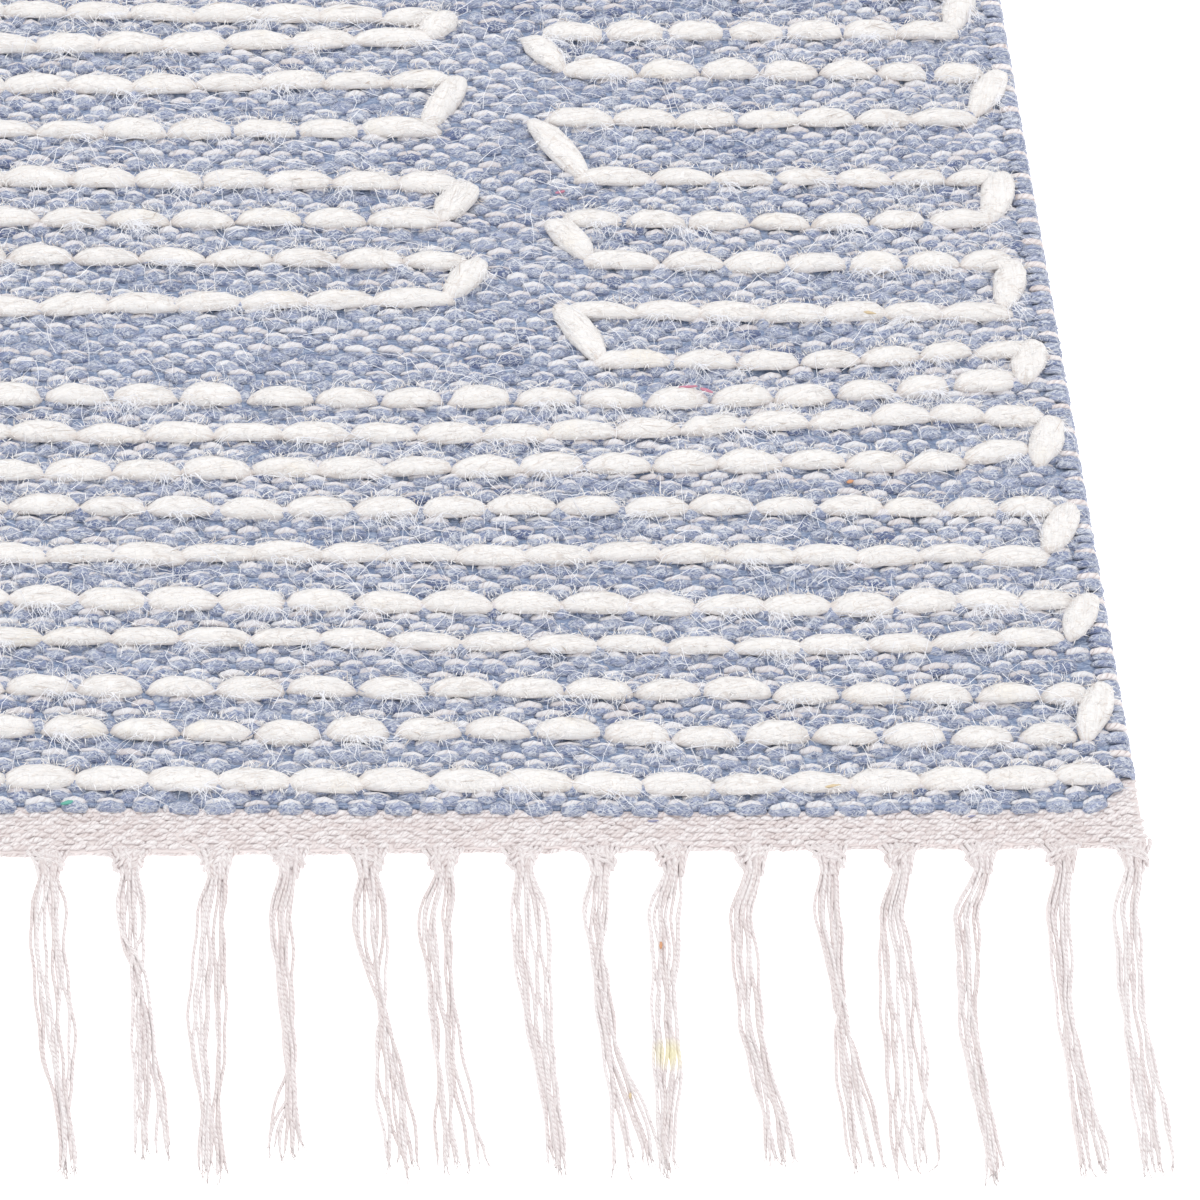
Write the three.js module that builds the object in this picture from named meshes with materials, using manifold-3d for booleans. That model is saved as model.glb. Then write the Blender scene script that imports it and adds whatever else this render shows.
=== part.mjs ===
// A flat-woven rug that lies flat: a thin ground cloth with thick wool rows standing up from it,
// and at each end a cotton band whose warp ends are knotted into tassels.
// Millimetres. X runs across the rug, Y along it, and Z is up from the surface that it lies on.
import * as THREE from "three";
import { mergeVertices } from "three/addons/utils/BufferGeometryUtils.js";
import Module from "manifold-3d";

const wasm = await Module();
wasm.setup();

// Driving sizes. A place on the rug is given as fromRight, the distance from its right edge,
// and up, the distance from its near hem.
const rugWidth = 610;
const rugLength = 914;
const clothThickness = 3.4;
const bandThickness = 3.0;
const seamGap = 0.3;

// The wool rows
const rowCrest = 6.0;
const rowFootWidth = 5.6;
const rowTopWidth = 2.8;
const rowSunk = 0.1;
const rowEndSlope = 1.5;
const edgeMargin = 3.5;
const freeEndInset = 1.5;
const turnFootInset = 9;
const turnTopInset = 3.8;
const turnRise = 1.5;
const leastSegment = 7;
const plainFirstRow = 15.9;
const plainRowPitch = 11.6;
const settleLength = 60;

// The tassels
const tasselCount = 38;
const strandsPerTassel = 3;
const strandWidth = 1.7;
const strandHeight = 1.6;
const strandTipShare = 0.55;
const leastSpread = 2.6;
const rootSpread = 1.9;
const knotWidth = 6.6;
const knotHeight = 4.4;
const knotLength = 7.2;
const knotTaper = 0.85;
const knotFromHem = 2.6;
const rootFromHem = 3.6;
const cornerKnot = 3.2;
const knotJitter = 0.8;
const reachJitter = 1.2;

// The cloth's side edges
const sideStart = 40;
const sideStep = 24;
const sideWaviness = 0.35;
const hemWaviness = 0.3;

// The band's inner edge, from the right corner to the left: a small flap of the cotton climbs each
// side edge, and between them the band is a little wider towards the middle of the rug.
const bandEdge = [
  { fromRight: 0, up: 16.4 },
  { fromRight: 3, up: 16 },
  { fromRight: 4.4, up: 12.8 },
  { fromRight: 9, up: 8.2 },
  { fromRight: 90, up: 8 },
  { fromRight: 130, up: 8.6 },
  { fromRight: 180, up: 9.4 },
  { fromRight: 235, up: 10.4 },
  { fromRight: 330, up: 9.4 },
  { fromRight: 601, up: 9 },
  { fromRight: 605.6, up: 12.8 },
  { fromRight: 607, up: 16 },
  { fromRight: 610, up: 16.4 },
];

// The ten rows of a border run the full width. Each column gives a row's height above the hem at
// that distance from the right edge, because the rows wander as they do in the real cloth.
const borderColumns = [12, 32, 60, 90, 130, 180, 235];
const plainColumns = [300, 370, 440, 510, 570];
const borderRows = [
  { at12: 16.2, at32: 15.8, at60: 14.7, at90: 14.3, at130: 15.5, at180: 16.1, at235: 17.4 },
  { at12: 27.4, at32: 26.2, at60: 27.4, at90: 26.9, at130: 29.2, at180: 28.9, at235: 30.2 },
  { at12: 38.0, at32: 37.7, at60: 38.0, at90: 38.9, at130: 39.3, at180: 40.1, at235: 41.0 },
  { at12: 53.6, at32: 52.0, at60: 50.9, at90: 50.8, at130: 51.8, at180: 53.2, at235: 53.7 },
  { at12: 63.0, at32: 63.0, at60: 61.7, at90: 61.5, at130: 62.3, at180: 63.4, at235: 64.2 },
  { at12: 75.0, at32: 75.6, at60: 75.4, at90: 76.2, at130: 75.8, at180: 75.9, at235: 75.6 },
  { at12: 88.9, at32: 88.4, at60: 88.9, at90: 89.0, at130: 88.9, at180: 88.4, at235: 89.2 },
  { at12: 105.4, at32: 101.6, at60: 101.9, at90: 101.0, at130: 100.2, at180: 99.4, at235: 98.6 },
  { at12: 115.0, at32: 115.4, at60: 113.0, at90: 111.0, at130: 109.4, at180: 109.4, at235: 109.2 },
  { at12: 125.6, at32: 123.3, at60: 120.5, at90: 119.2, at130: 119.5, at180: 119.6, at235: 120.1 },
];

// Between the borders the rows run in five blocks side by side. right is the outer tip of a
// block's right-hand turns, first and last are the heights of its outermost rows, and startsAt is
// the side where its nearest row starts.
const blocks = [
  { right: 3.5, width: 110, rows: 48, first: 132.4, last: 781.6, startsAt: "right" },
  { right: 128, width: 120, rows: 46, first: 147.4, last: 766.6, startsAt: "left" },
  { right: 262, width: 105.5, rows: 48, first: 132.4, last: 781.6, startsAt: "right" },
  { right: 381.5, width: 105.5, rows: 46, first: 147.4, last: 766.6, startsAt: "left" },
  { right: 501, width: 105.5, rows: 48, first: 132.4, last: 781.6, startsAt: "left" },
];

// The first rows of the two blocks at the right, as uneven as they are: the height at the row's
// right end, in its middle and at its left end.
const firstRows = [
  [
    { rightEnd: 134.9, middle: 130.6, leftEnd: 130.4 },
    { rightEnd: 145.6, middle: 144.4, leftEnd: 145.0 },
    { rightEnd: 160.4, middle: 159.2, leftEnd: 160.4 },
    { rightEnd: 173.0, middle: 171.9, leftEnd: 172.4 },
    { rightEnd: 186.0, middle: 185.2, leftEnd: 185.4 },
    { rightEnd: 205.0, middle: 203.7, leftEnd: 203.2 },
    { rightEnd: 218.9, middle: 219.1, leftEnd: 218.9 },
    { rightEnd: 232.7, middle: 231.9, leftEnd: 230.3 },
  ],
  [
    { rightEnd: 148.7, middle: 146.6, leftEnd: 144.6 },
    { rightEnd: 159.4, middle: 160.3, leftEnd: 160.4 },
    { rightEnd: 172.8, middle: 171.6, leftEnd: 171.4 },
    { rightEnd: 182.8, middle: 183.4, leftEnd: 183.2 },
    { rightEnd: 200.2, middle: 198.4, leftEnd: 198.6 },
    { rightEnd: 215.2, middle: 213.4, leftEnd: 211.2 },
    { rightEnd: 228.8, middle: 225.8, leftEnd: 224.6 },
    { rightEnd: 235.0, middle: 235.4, leftEnd: 236.0 },
  ],
];

// The fifteen tassels nearest the right corner. knot is fromRight, sway is how far the strands'
// middle stands from the knot towards +X, wide is the bundle's width, and reach is the tip's
// distance from the hem. A stands for the upper part of the tassel and B for its middle.
const nearTassels = [
  { knot: 3.1, swayA: -3.9, swayB: -5.3, swayTip: -5.4, wideA: 5.2, wideB: 6.0, wideTip: 6.5, reach: 78 },
  { knot: 18.0, swayA: -3.0, swayB: -4.2, swayTip: -3.1, wideA: 4.3, wideB: 3.5, wideTip: 5.9, reach: 77.5 },
  { knot: 35.0, swayA: -5.7, swayB: -7.8, swayTip: -6.8, wideA: 5.4, wideB: 4.6, wideTip: 3.8, reach: 79 },
  { knot: 52.1, swayA: -3.6, swayB: -4.2, swayTip: -5.2, wideA: 5.0, wideB: 7.6, wideTip: 9.9, reach: 76.5 },
  { knot: 67.2, swayA: -1.6, swayB: -1.5, swayTip: -0.2, wideA: 5.2, wideB: 2.8, wideTip: 7.5, reach: 76 },
  { knot: 83.0, swayA: -3.6, swayB: -4.2, swayTip: -1.2, wideA: 4.2, wideB: 4.6, wideTip: 5.8, reach: 74 },
  { knot: 99.5, swayA: -3.5, swayB: -4.9, swayTip: -7.3, wideA: 6.8, wideB: 5.2, wideTip: 3.4, reach: 76 },
  { knot: 114.8, swayA: -2.2, swayB: -1.5, swayTip: 1.6, wideA: 5.0, wideB: 3.2, wideTip: 9.5, reach: 75.5 },
  { knot: 130.5, swayA: 0.4, swayB: 0.6, swayTip: 1.9, wideA: 7.3, wideB: 6.0, wideTip: 3.3, reach: 75.5 },
  { knot: 146.8, swayA: -2.5, swayB: -2.5, swayTip: -1.2, wideA: 7.0, wideB: 5.6, wideTip: 9.5, reach: 74.5 },
  { knot: 162.4, swayA: -0.2, swayB: 1.0, swayTip: 2.5, wideA: 7.2, wideB: 2.6, wideTip: 7.9, reach: 75 },
  { knot: 178.7, swayA: -2.1, swayB: -1.9, swayTip: -3.2, wideA: 4.5, wideB: 2.4, wideTip: 7.2, reach: 71 },
  { knot: 193.0, swayA: -2.3, swayB: -3.9, swayTip: -3.4, wideA: 6.4, wideB: 7.5, wideTip: 5.8, reach: 75 },
  { knot: 210.9, swayA: 0, swayB: 1.5, swayTip: 2.3, wideA: 5.8, wideB: 3.6, wideTip: 7.6, reach: 71 },
  { knot: 227.3, swayA: -0.2, swayB: 1.0, swayTip: 2.2, wideA: 7.6, wideB: 6.5, wideTip: 4.0, reach: 74.6 },
];

// The other tassels take each of their sizes from a wave of its own, of the same unevenness.
const plainSizes = {
  swayA: { mean: -1.2, swing: 1.8, pace: 1, shift: 0 },
  swayB: { mean: -1.4, swing: 2.6, pace: 1, shift: 0.7 },
  swayTip: { mean: -0.8, swing: 3.2, pace: 1, shift: 1.3 },
  wideA: { mean: 5.8, swing: 1.3, pace: 2.1, shift: 0 },
  wideB: { mean: 4.9, swing: 1.9, pace: 2.7, shift: 1 },
  wideTip: { mean: 6.4, swing: 1.8, pace: 1.9, shift: 2 },
  reach: { mean: 76.4, swing: 2, pace: 3.1, shift: 0 },
};

// Where along a tassel its sway, its width and its bends are given, as shares of its reach.
const swayShares = [0.24, 0.58];
const wideShares = [0.18, 0.55];
const measuredBends = [0.22, 0.6];
const plainBends = [0.4];

const material = {
  cloth: new THREE.MeshStandardMaterial({ color: 0x8a9dbb, roughness: 0.95, metalness: 0 }),
  cotton: new THREE.MeshStandardMaterial({ color: 0xe8dedc, roughness: 0.95, metalness: 0 }),
};

const xOf = (fromRight) => rugWidth / 2 - fromRight;
const yOf = (up) => up - rugLength / 2;

// The small wander of rows and side edges beyond the measured corner.
const wander = (fromRight, up) =>
  0.8 * Math.sin(fromRight / 61 + up / 47) + 0.5 * Math.sin(fromRight / 23 - up / 31);

// A value between the points of a polyline of [place, value] pairs.
function between(pairs, place) {
  if (place <= pairs[0][0]) {
    return pairs[0][1];
  }
  for (let i = 1; i < pairs.length; i++) {
    const [from, to] = [pairs[i - 1], pairs[i]];
    if (place <= to[0]) {
      return from[1] + ((to[1] - from[1]) * (place - from[0])) / (to[0] - from[0]);
    }
  }
  return pairs[pairs.length - 1][1];
}

// A three.js geometry as a solid, and a solid as a three.js geometry.
function solidOf(geometry) {
  const bare = geometry.clone();
  bare.deleteAttribute("normal");
  bare.deleteAttribute("uv");
  const merged = mergeVertices(bare, 1e-4);
  const vertProperties = new Float32Array(merged.attributes.position.array);
  const triVerts = new Uint32Array(merged.index.array);
  return new wasm.Manifold(new wasm.Mesh({ numProp: 3, vertProperties, triVerts }));
}

function geometryOf(solid) {
  const mesh = solid.getMesh();
  const geometry = new THREE.BufferGeometry();
  geometry.setAttribute("position", new THREE.BufferAttribute(mesh.vertProperties, 3));
  geometry.setIndex(new THREE.BufferAttribute(mesh.triVerts, 1));
  geometry.computeVertexNormals();
  return geometry;
}

// A closed tube through rings of points. Every ring has the same number of points, in the
// same order, anticlockwise as seen from the tube's far end.
function ringTube(rings) {
  const count = rings[0].length;
  const index = [];
  const quad = (a, b, c, d) => index.push(a, b, c, a, c, d);
  for (let r = 0; r + 1 < rings.length; r++) {
    for (let i = 0; i < count; i++) {
      const j = (i + 1) % count;
      quad(r * count + i, r * count + j, (r + 1) * count + j, (r + 1) * count + i);
    }
  }
  const last = (rings.length - 1) * count;
  for (let i = 1; i + 1 < count; i++) {
    index.push(0, i + 1, i);
    index.push(last, last + i, last + i + 1);
  }
  const geometry = new THREE.BufferGeometry();
  geometry.setAttribute("position", new THREE.Float32BufferAttribute(rings.flat(2), 3));
  geometry.setIndex(index);
  return geometry;
}

function flatSheet(outline, thickness) {
  const shape = new THREE.Shape(outline.map(([x, y]) => new THREE.Vector2(x, y)));
  return new THREE.ExtrudeGeometry(shape, { depth: thickness, bevelEnabled: false });
}

// The thick wool yarn along a path of [x, y] points: a raised bar with sloping sides and ends and
// mitred corners, its foot sunk into the cloth.
function yarnBar(path) {
  const foot = clothThickness - rowSunk;
  const last = path.length - 1;
  const along = path.slice(1).map(([x, y], i) => {
    const span = new THREE.Vector2(x - path[i][0], y - path[i][1]);
    return span.normalize();
  });
  const rings = path.map(([x, y], i) => {
    const before = along[Math.max(i - 1, 0)];
    const after = along[Math.min(i, last - 1)];
    const across = new THREE.Vector2(-before.y - after.y, before.x + after.x).normalize();
    const mitre = 1 / (-across.x * before.y + across.y * before.x);
    const side = across.multiplyScalar(mitre / 2);
    const inset = i === 0 ? rowEndSlope : i === last ? -rowEndSlope : 0;
    const [tx, ty] = [x + before.x * inset, y + before.y * inset];
    return [
      [x - side.x * rowFootWidth, y - side.y * rowFootWidth, foot],
      [x + side.x * rowFootWidth, y + side.y * rowFootWidth, foot],
      [tx + side.x * rowTopWidth, ty + side.y * rowTopWidth, rowCrest],
      [tx - side.x * rowTopWidth, ty - side.y * rowTopWidth, rowCrest],
    ];
  });
  return ringTube(rings);
}

// The height of a border's row at a place across the rug: as measured near the right corner, and
// evenly spaced with a little wander beyond it.
function borderHeight(row, fromRight) {
  const entries = borderColumns.map((place) => [place, borderRows[row]["at" + place]]);
  const measuredEnd = borderColumns[borderColumns.length - 1];
  const settled = measuredEnd + settleLength;
  const plain = plainFirstRow + row * plainRowPitch;
  entries.push([settled, plain], [rugWidth, plain]);
  const fade = THREE.MathUtils.smoothstep(fromRight, measuredEnd, settled);
  return between(entries, fromRight) + fade * wander(fromRight, plain);
}

// The height of a block's row at a place across the rug.
function blockHeight(index, row, fromRight) {
  const block = blocks[index];
  const measured = firstRows[index];
  const left = block.right + block.width;
  if (measured && row < measured.length) {
    const { rightEnd, middle, leftEnd } = measured[row];
    const centre = (block.right + left) / 2;
    return between([[block.right, rightEnd], [centre, middle], [left, leftEnd]], fromRight);
  }
  const skip = measured ? measured.length - 1 : 0;
  const start = measured ? measured[skip].middle : block.first;
  const up = start + ((block.last - start) * (row - skip)) / (block.rows - 1 - skip);
  return up + wander(fromRight, up) * Math.min(1, (row - skip) / 3);
}

// One row as part of a serpentine: from and to are its outer tips in the order that the yarn runs.
// A turn leaves a row a little inside the tip, and slants up to the tip of the next row.
function rowPoints(row, isFirst, isLast) {
  const { from, to, places, height } = row;
  const inward = Math.sign(to - from);
  const start = from + inward * (isFirst ? freeEndInset : turnTopInset);
  const end = to - inward * (isLast ? freeEndInset : turnFootInset);
  const fromEnds = (place) => Math.min((place - start) * inward, (end - place) * inward);
  const inside = places.filter((place) => fromEnds(place) > leastSegment);
  const ordered = inside.sort((a, b) => (a - b) * inward);
  const point = (place, raised) => [xOf(place), yOf(height(place) + raised)];
  return [
    point(start, isFirst ? 0 : turnRise),
    ...ordered.map((place) => point(place, 0)),
    point(end, 0),
  ];
}

const serpentine = (rows) =>
  rows.flatMap((row, i) => rowPoints(row, i === 0, i === rows.length - 1));

// The rows of the near border, from the hem up. The first runs from the right edge to the left.
function borderRun() {
  const tips = [edgeMargin, rugWidth - edgeMargin];
  const places = [...borderColumns, ...plainColumns];
  return borderRows.map((unused, row) => ({
    from: tips[row % 2],
    to: tips[(row + 1) % 2],
    places,
    height: (place) => borderHeight(row, place),
  }));
}

function blockRun(index) {
  const block = blocks[index];
  const tips = [block.right, block.right + block.width];
  const middle = (tips[0] + tips[1]) / 2;
  const first = block.startsAt === "right" ? 0 : 1;
  return Array.from({ length: block.rows }, (unused, row) => ({
    from: tips[(row + first) % 2],
    to: tips[(row + first + 1) % 2],
    places: firstRows[index] && row < firstRows[index].length ? [middle] : [],
    height: (place) => blockHeight(index, row, place),
  }));
}

// The yarn of the near border goes on into the block at the right, and the far border, which is
// the near one turned half round, is the end of the yarn of the block at the left.
function yarnPaths() {
  const last = blocks.length - 1;
  const near = serpentine([...borderRun(), ...blockRun(0)]);
  const turned = borderRun().map((row) => ({
    from: rugWidth - row.to,
    to: rugWidth - row.from,
    places: row.places.map((place) => rugWidth - place),
    height: (place) => rugLength - row.height(rugWidth - place),
  }));
  const far = serpentine([...blockRun(last), ...turned.reverse()]);
  const inner = blocks.slice(1, last).map((unused, i) => serpentine(blockRun(i + 1)));
  return [near, ...inner, far];
}

// The cloth's outline: its ends follow the bands, and its sides are a little uneven.
function clothOutline() {
  const inner = bandEdge.map(({ fromRight, up }) => {
    const side = Math.sign(rugWidth / 2 - fromRight);
    const atEdge = fromRight === 0 || fromRight === rugWidth;
    return [xOf(fromRight + (atEdge ? 0 : side * seamGap)), yOf(up + seamGap)];
  });
  const near = inner.reverse();
  const rightSide = [];
  for (let up = sideStart; up < rugLength - sideStart; up += sideStep) {
    rightSide.push([xOf(sideWaviness * wander(0, 3 * up)), yOf(up)]);
  }
  const half = [...near, ...rightSide];
  return [...half, ...half.map(([x, y]) => [-x, -y])];
}

function clothSolid() {
  const sheet = solidOf(flatSheet(clothOutline(), clothThickness));
  const yarns = yarnPaths().map((path) => solidOf(yarnBar(path)));
  return wasm.Manifold.union([sheet, ...yarns]);
}

// A tassel past the measured ones, by its place in the order from the right edge.
function plainTassel(order, phase) {
  const lastKnot = nearTassels[nearTassels.length - 1].knot;
  const pitch = (rugWidth - cornerKnot - lastKnot) / (tasselCount - nearTassels.length);
  const turn = order * 2.4 + phase;
  const sizes = Object.entries(plainSizes).map(([name, wave]) => [
    name,
    wave.mean + wave.swing * Math.sin(turn * wave.pace + wave.shift),
  ]);
  const knot = lastKnot + pitch * (order - nearTassels.length + 1) + knotJitter * Math.sin(turn * 1.7);
  return { ...Object.fromEntries(sizes), knot, bends: plainBends };
}

// The corner tassel at the left hangs straighter, close under the side edge.
function cornerTassel(phase) {
  const tassel = plainTassel(tasselCount - 1, phase);
  const calm = 0.25;
  const { swayA, swayB, swayTip } = tassel;
  return { ...tassel, swayA: calm * swayA, swayB: calm * swayB, swayTip: calm * swayTip };
}

function knotTube(tassel) {
  const [x, y] = [xOf(tassel.knot), yOf(-knotFromHem)];
  const corner = knotWidth / 2 / Math.cos(Math.PI / 6);
  const rise = knotHeight / 2 / Math.sin(Math.PI / 3);
  const ring = (along, share) =>
    Array.from({ length: 6 }, (unused, i) => {
      const angle = (Math.PI / 3) * i;
      const z = knotHeight / 2 + rise * Math.sin(angle);
      return [x + corner * share * Math.cos(angle), y - along, z];
    });
  return ringTube([ring(-knotLength / 2, 1), ring(knotLength / 2, knotTaper)]);
}

// One strand lying level on the floor: three-sided, flat below, narrower at its tip. place runs
// from -1 to 1 across the tassel.
function strandTube(tassel, place, reach) {
  const sway = [
    [rootFromHem, 0],
    [reach * swayShares[0], tassel.swayA],
    [reach * swayShares[1], tassel.swayB],
    [reach, tassel.swayTip],
  ];
  const spread = [
    [rootFromHem, rootSpread],
    [reach * wideShares[0], Math.max(tassel.wideA / 2, leastSpread)],
    [reach * wideShares[1], Math.max(tassel.wideB / 2, leastSpread)],
    [reach, Math.max(tassel.wideTip / 2, leastSpread)],
  ];
  const stations = [rootFromHem, ...tassel.bends.map((share) => share * reach), reach];
  const rings = stations.map((down, i) => {
    const thin = i === stations.length - 1 ? strandTipShare : 1;
    const x = xOf(tassel.knot) + between(sway, down) + place * between(spread, down);
    const half = (strandWidth / 2) * thin;
    const y = yOf(-down);
    return [[x - half, y, 0], [x + half, y, 0], [x, y, strandHeight * thin]];
  });
  return ringTube(rings);
}

// The cotton band with its tassels. Their knots and the strands' roots are fused to it.
function fringeSolid(tassels) {
  const hemPlaces = [0, 90, 200, 330, 470, rugWidth];
  const hem = hemPlaces.map((place) => [xOf(place), yOf(hemWaviness * Math.sin(place))]);
  const inner = bandEdge.map(({ fromRight, up }) => [xOf(fromRight), yOf(up)]);
  const pieces = [flatSheet([...inner, ...hem.reverse()], bandThickness)];
  tassels.forEach((tassel, order) => {
    pieces.push(knotTube(tassel));
    for (let i = 0; i < strandsPerTassel; i++) {
      const place = (2 * i) / (strandsPerTassel - 1) - 1;
      const reach = tassel.reach + reachJitter * Math.sin(order * 5 + i * 2);
      pieces.push(strandTube(tassel, place, reach));
    }
  });
  return wasm.Manifold.union(pieces.map(solidOf));
}

// The tassels of one end. Both ends have their knots at the same places from their own right edge.
function tasselsOf(measured, phase) {
  return Array.from({ length: tasselCount }, (unused, order) => {
    const near = nearTassels[order];
    if (near && measured) {
      return { ...near, bends: measuredBends };
    }
    const tassel = order === tasselCount - 1 ? cornerTassel(phase) : plainTassel(order, phase);
    return { ...tassel, knot: near?.knot ?? plainTassel(order, 0).knot };
  });
}

const rug = new THREE.Group();

function addPiece(name, solid, look) {
  const mesh = new THREE.Mesh(geometryOf(solid), look);
  mesh.name = name;
  rug.add(mesh);
  return mesh;
}

addPiece("rug_body", clothSolid(), material.cloth);
addPiece("fringe_front", fringeSolid(tasselsOf(true, 0)), material.cotton);
addPiece("fringe_back", fringeSolid(tasselsOf(false, 2)), material.cotton).rotation.z = Math.PI;

export default rug;
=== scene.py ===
import math

import bpy
import numpy as np
from mathutils import Matrix, Vector


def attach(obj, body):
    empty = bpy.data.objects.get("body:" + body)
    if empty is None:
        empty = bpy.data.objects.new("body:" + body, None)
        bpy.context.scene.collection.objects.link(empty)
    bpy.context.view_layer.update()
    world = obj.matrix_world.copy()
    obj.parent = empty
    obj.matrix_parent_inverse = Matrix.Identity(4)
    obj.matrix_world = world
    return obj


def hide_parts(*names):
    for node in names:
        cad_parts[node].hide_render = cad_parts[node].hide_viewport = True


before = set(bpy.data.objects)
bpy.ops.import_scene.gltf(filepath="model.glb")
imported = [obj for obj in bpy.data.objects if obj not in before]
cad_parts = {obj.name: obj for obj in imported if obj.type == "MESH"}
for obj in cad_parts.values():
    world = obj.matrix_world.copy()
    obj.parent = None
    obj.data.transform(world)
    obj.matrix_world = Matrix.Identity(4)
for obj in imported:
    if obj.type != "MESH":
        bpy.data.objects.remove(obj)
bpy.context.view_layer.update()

# A flat-woven rug: blue wool floats on a cotton warp, thick cream wool run through them in long
# stitches, and at each end a cotton band with knotted tassels.
# Sizes below are in millimetres. A place on the rug is given as fromRight, the distance from its
# right edge, and up, the height above its near hem.
mm = 0.001
rug = {
    "width": 610,
    "length": 914,
    "warpPitch": 3.65,     # one warp unit, a pair of cotton ends
    "pickPitch": 2.58,     # one ground pick
    "cornerWidth": 243,    # the corner nearest the camera has the finer yarns
    "cornerLength": 248,
}


def xOf(fromRight):
    return rug["width"] / 2 - fromRight


def yOf(up):
    return up - rug["length"] / 2


def smooth(value, low, high):
    share = min(1.0, max(0.0, (value - low) / (high - low)))
    return share * share * (3 - 2 * share)


# Where the photograph shows no rows, they wander by a slow wave and a quick one: each wave's swing,
# and its length over 2 pi across and along the rug
wanderWaves = [(0.8, 61, 47), (0.5, 23, -31)]


def wander(fromRight, up):
    return sum(swing * math.sin(fromRight / across + up / along) for swing, across, along in wanderWaves)


def inCorner(fromRight, up):
    return fromRight < rug["cornerWidth"] and up < rug["cornerLength"]


# Parts places into those in the corner, which get the finer yarn, and the rest
def splitAtCorner(places):
    return [p for p in places if inCorner(p[0], p[1])], [p for p in places if not inCorner(p[0], p[1])]


# Where the rows of thick yarn lie. The first entries of a row are measured near the right corner.
borderColumns = [12, 32, 60, 90, 130, 180, 235]
borderRows = [
    [16.2, 15.8, 14.7, 14.3, 15.5, 16.1, 17.4],
    [27.4, 26.2, 27.4, 26.9, 29.2, 28.9, 30.2],
    [38.0, 37.7, 38.0, 38.9, 39.3, 40.1, 41.0],
    [53.6, 52.0, 50.9, 50.8, 51.8, 53.2, 53.7],
    [63.0, 63.0, 61.7, 61.5, 62.3, 63.4, 64.2],
    [75.0, 75.6, 75.4, 76.2, 75.8, 75.9, 75.6],
    [88.9, 88.4, 88.9, 89.0, 88.9, 88.4, 89.2],
    [105.4, 101.6, 101.9, 101.0, 100.2, 99.4, 98.6],
    [115.0, 115.4, 113.0, 111.0, 109.4, 109.4, 109.2],
    [125.6, 123.3, 120.5, 119.2, 119.5, 119.6, 120.1],
]
# Beyond the last column the border's rows become even over settle millimetres. Above the last
# measured row the blocks' rows begin to wander over settleRows.
borderPlan = {"firstUp": 15.9, "pitch": 11.6, "settle": 60, "settleRows": 3, "edgeMargin": 3.5}

# The serpentine blocks: right tip, width, number of rows, first and last height, starting side
blocks = [
    {"right": 3.5, "width": 110, "rows": 48, "first": 132.4, "last": 781.6, "startsAt": "right"},
    {"right": 128, "width": 120, "rows": 46, "first": 147.4, "last": 766.6, "startsAt": "left"},
    {"right": 262, "width": 105.5, "rows": 48, "first": 132.4, "last": 781.6, "startsAt": "right"},
    {"right": 381.5, "width": 105.5, "rows": 46, "first": 147.4, "last": 766.6, "startsAt": "left"},
    {"right": 501, "width": 105.5, "rows": 48, "first": 132.4, "last": 781.6, "startsAt": "left"},
]
# Measured first rows of the two blocks at the right: height at the right end, middle, left end
firstRows = [
    [(134.9, 130.6, 130.4), (145.6, 144.4, 145.0), (160.4, 159.2, 160.4), (173.0, 171.9, 172.4),
     (186.0, 185.2, 185.4), (205.0, 203.7, 203.2), (218.9, 219.1, 218.9), (232.7, 231.9, 230.3)],
    [(148.7, 146.6, 144.6), (159.4, 160.3, 160.4), (172.8, 171.6, 171.4), (182.8, 183.4, 183.2),
     (200.2, 198.4, 198.6), (215.2, 213.4, 211.2), (228.8, 225.8, 224.6), (235.0, 235.4, 236.0)],
]
# Measured turns, by block and by the row that each turn leaves: foot and top, fromRight and up
measuredTurns = {
    ("border", 1): (10.5, 25.4, 3.5, 41.4), ("border", 3): (10, 52.4, 3, 65.4),
    ("border", 5): (11.5, 76.4, 4, 90.4), ("border", 7): (10.5, 100.4, 4.5, 115.4),
    ("border", 9): (11.5, 124.4, 5.5, 137.4),
    (0, 0): (103.5, 129.4, 113, 147.4), (0, 1): (12.5, 146.4, 7.5, 161.4),
    (0, 2): (104, 160.4, 113, 172.4), (0, 3): (12.5, 172.4, 6.5, 188.4),
    (0, 4): (103, 184.4, 115, 203.4), (0, 5): (12, 205.4, 3, 220.4),
    (0, 6): (105.5, 218.4, 114.5, 229.4), (0, 7): (14, 232.4, 8, 247.4),
    (1, 0): (137.5, 148.4, 128, 160.4), (1, 2): (138, 172, 128.5, 183),
    (1, 4): (139, 199.8, 129, 216.8), (1, 6): (138.5, 228.8, 129.5, 236),
}
# The cotton band's inner edge
bandEdge = {
    "fromRight": [0, 3, 4.4, 9, 90, 130, 180, 235, 330, 601, 605.6, 607, 610],
    "up": [16.4, 16, 12.8, 8.2, 8, 8.6, 9.4, 10.4, 9.4, 9, 12.8, 16, 16.4],
}


def bandTop(fromRight):
    return float(np.interp(fromRight, bandEdge["fromRight"], bandEdge["up"]))


def borderHeight(row, fromRight):
    end = borderColumns[-1]
    settled = end + borderPlan["settle"]
    plain = borderPlan["firstUp"] + row * borderPlan["pitch"]
    places = borderColumns + [settled, rug["width"]]
    height = float(np.interp(fromRight, places, borderRows[row] + [plain, plain]))
    return height + smooth(fromRight, end, settled) * wander(fromRight, plain)


def farBorderHeight(row, fromRight):
    return rug["length"] - borderHeight(row, rug["width"] - fromRight)


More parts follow.
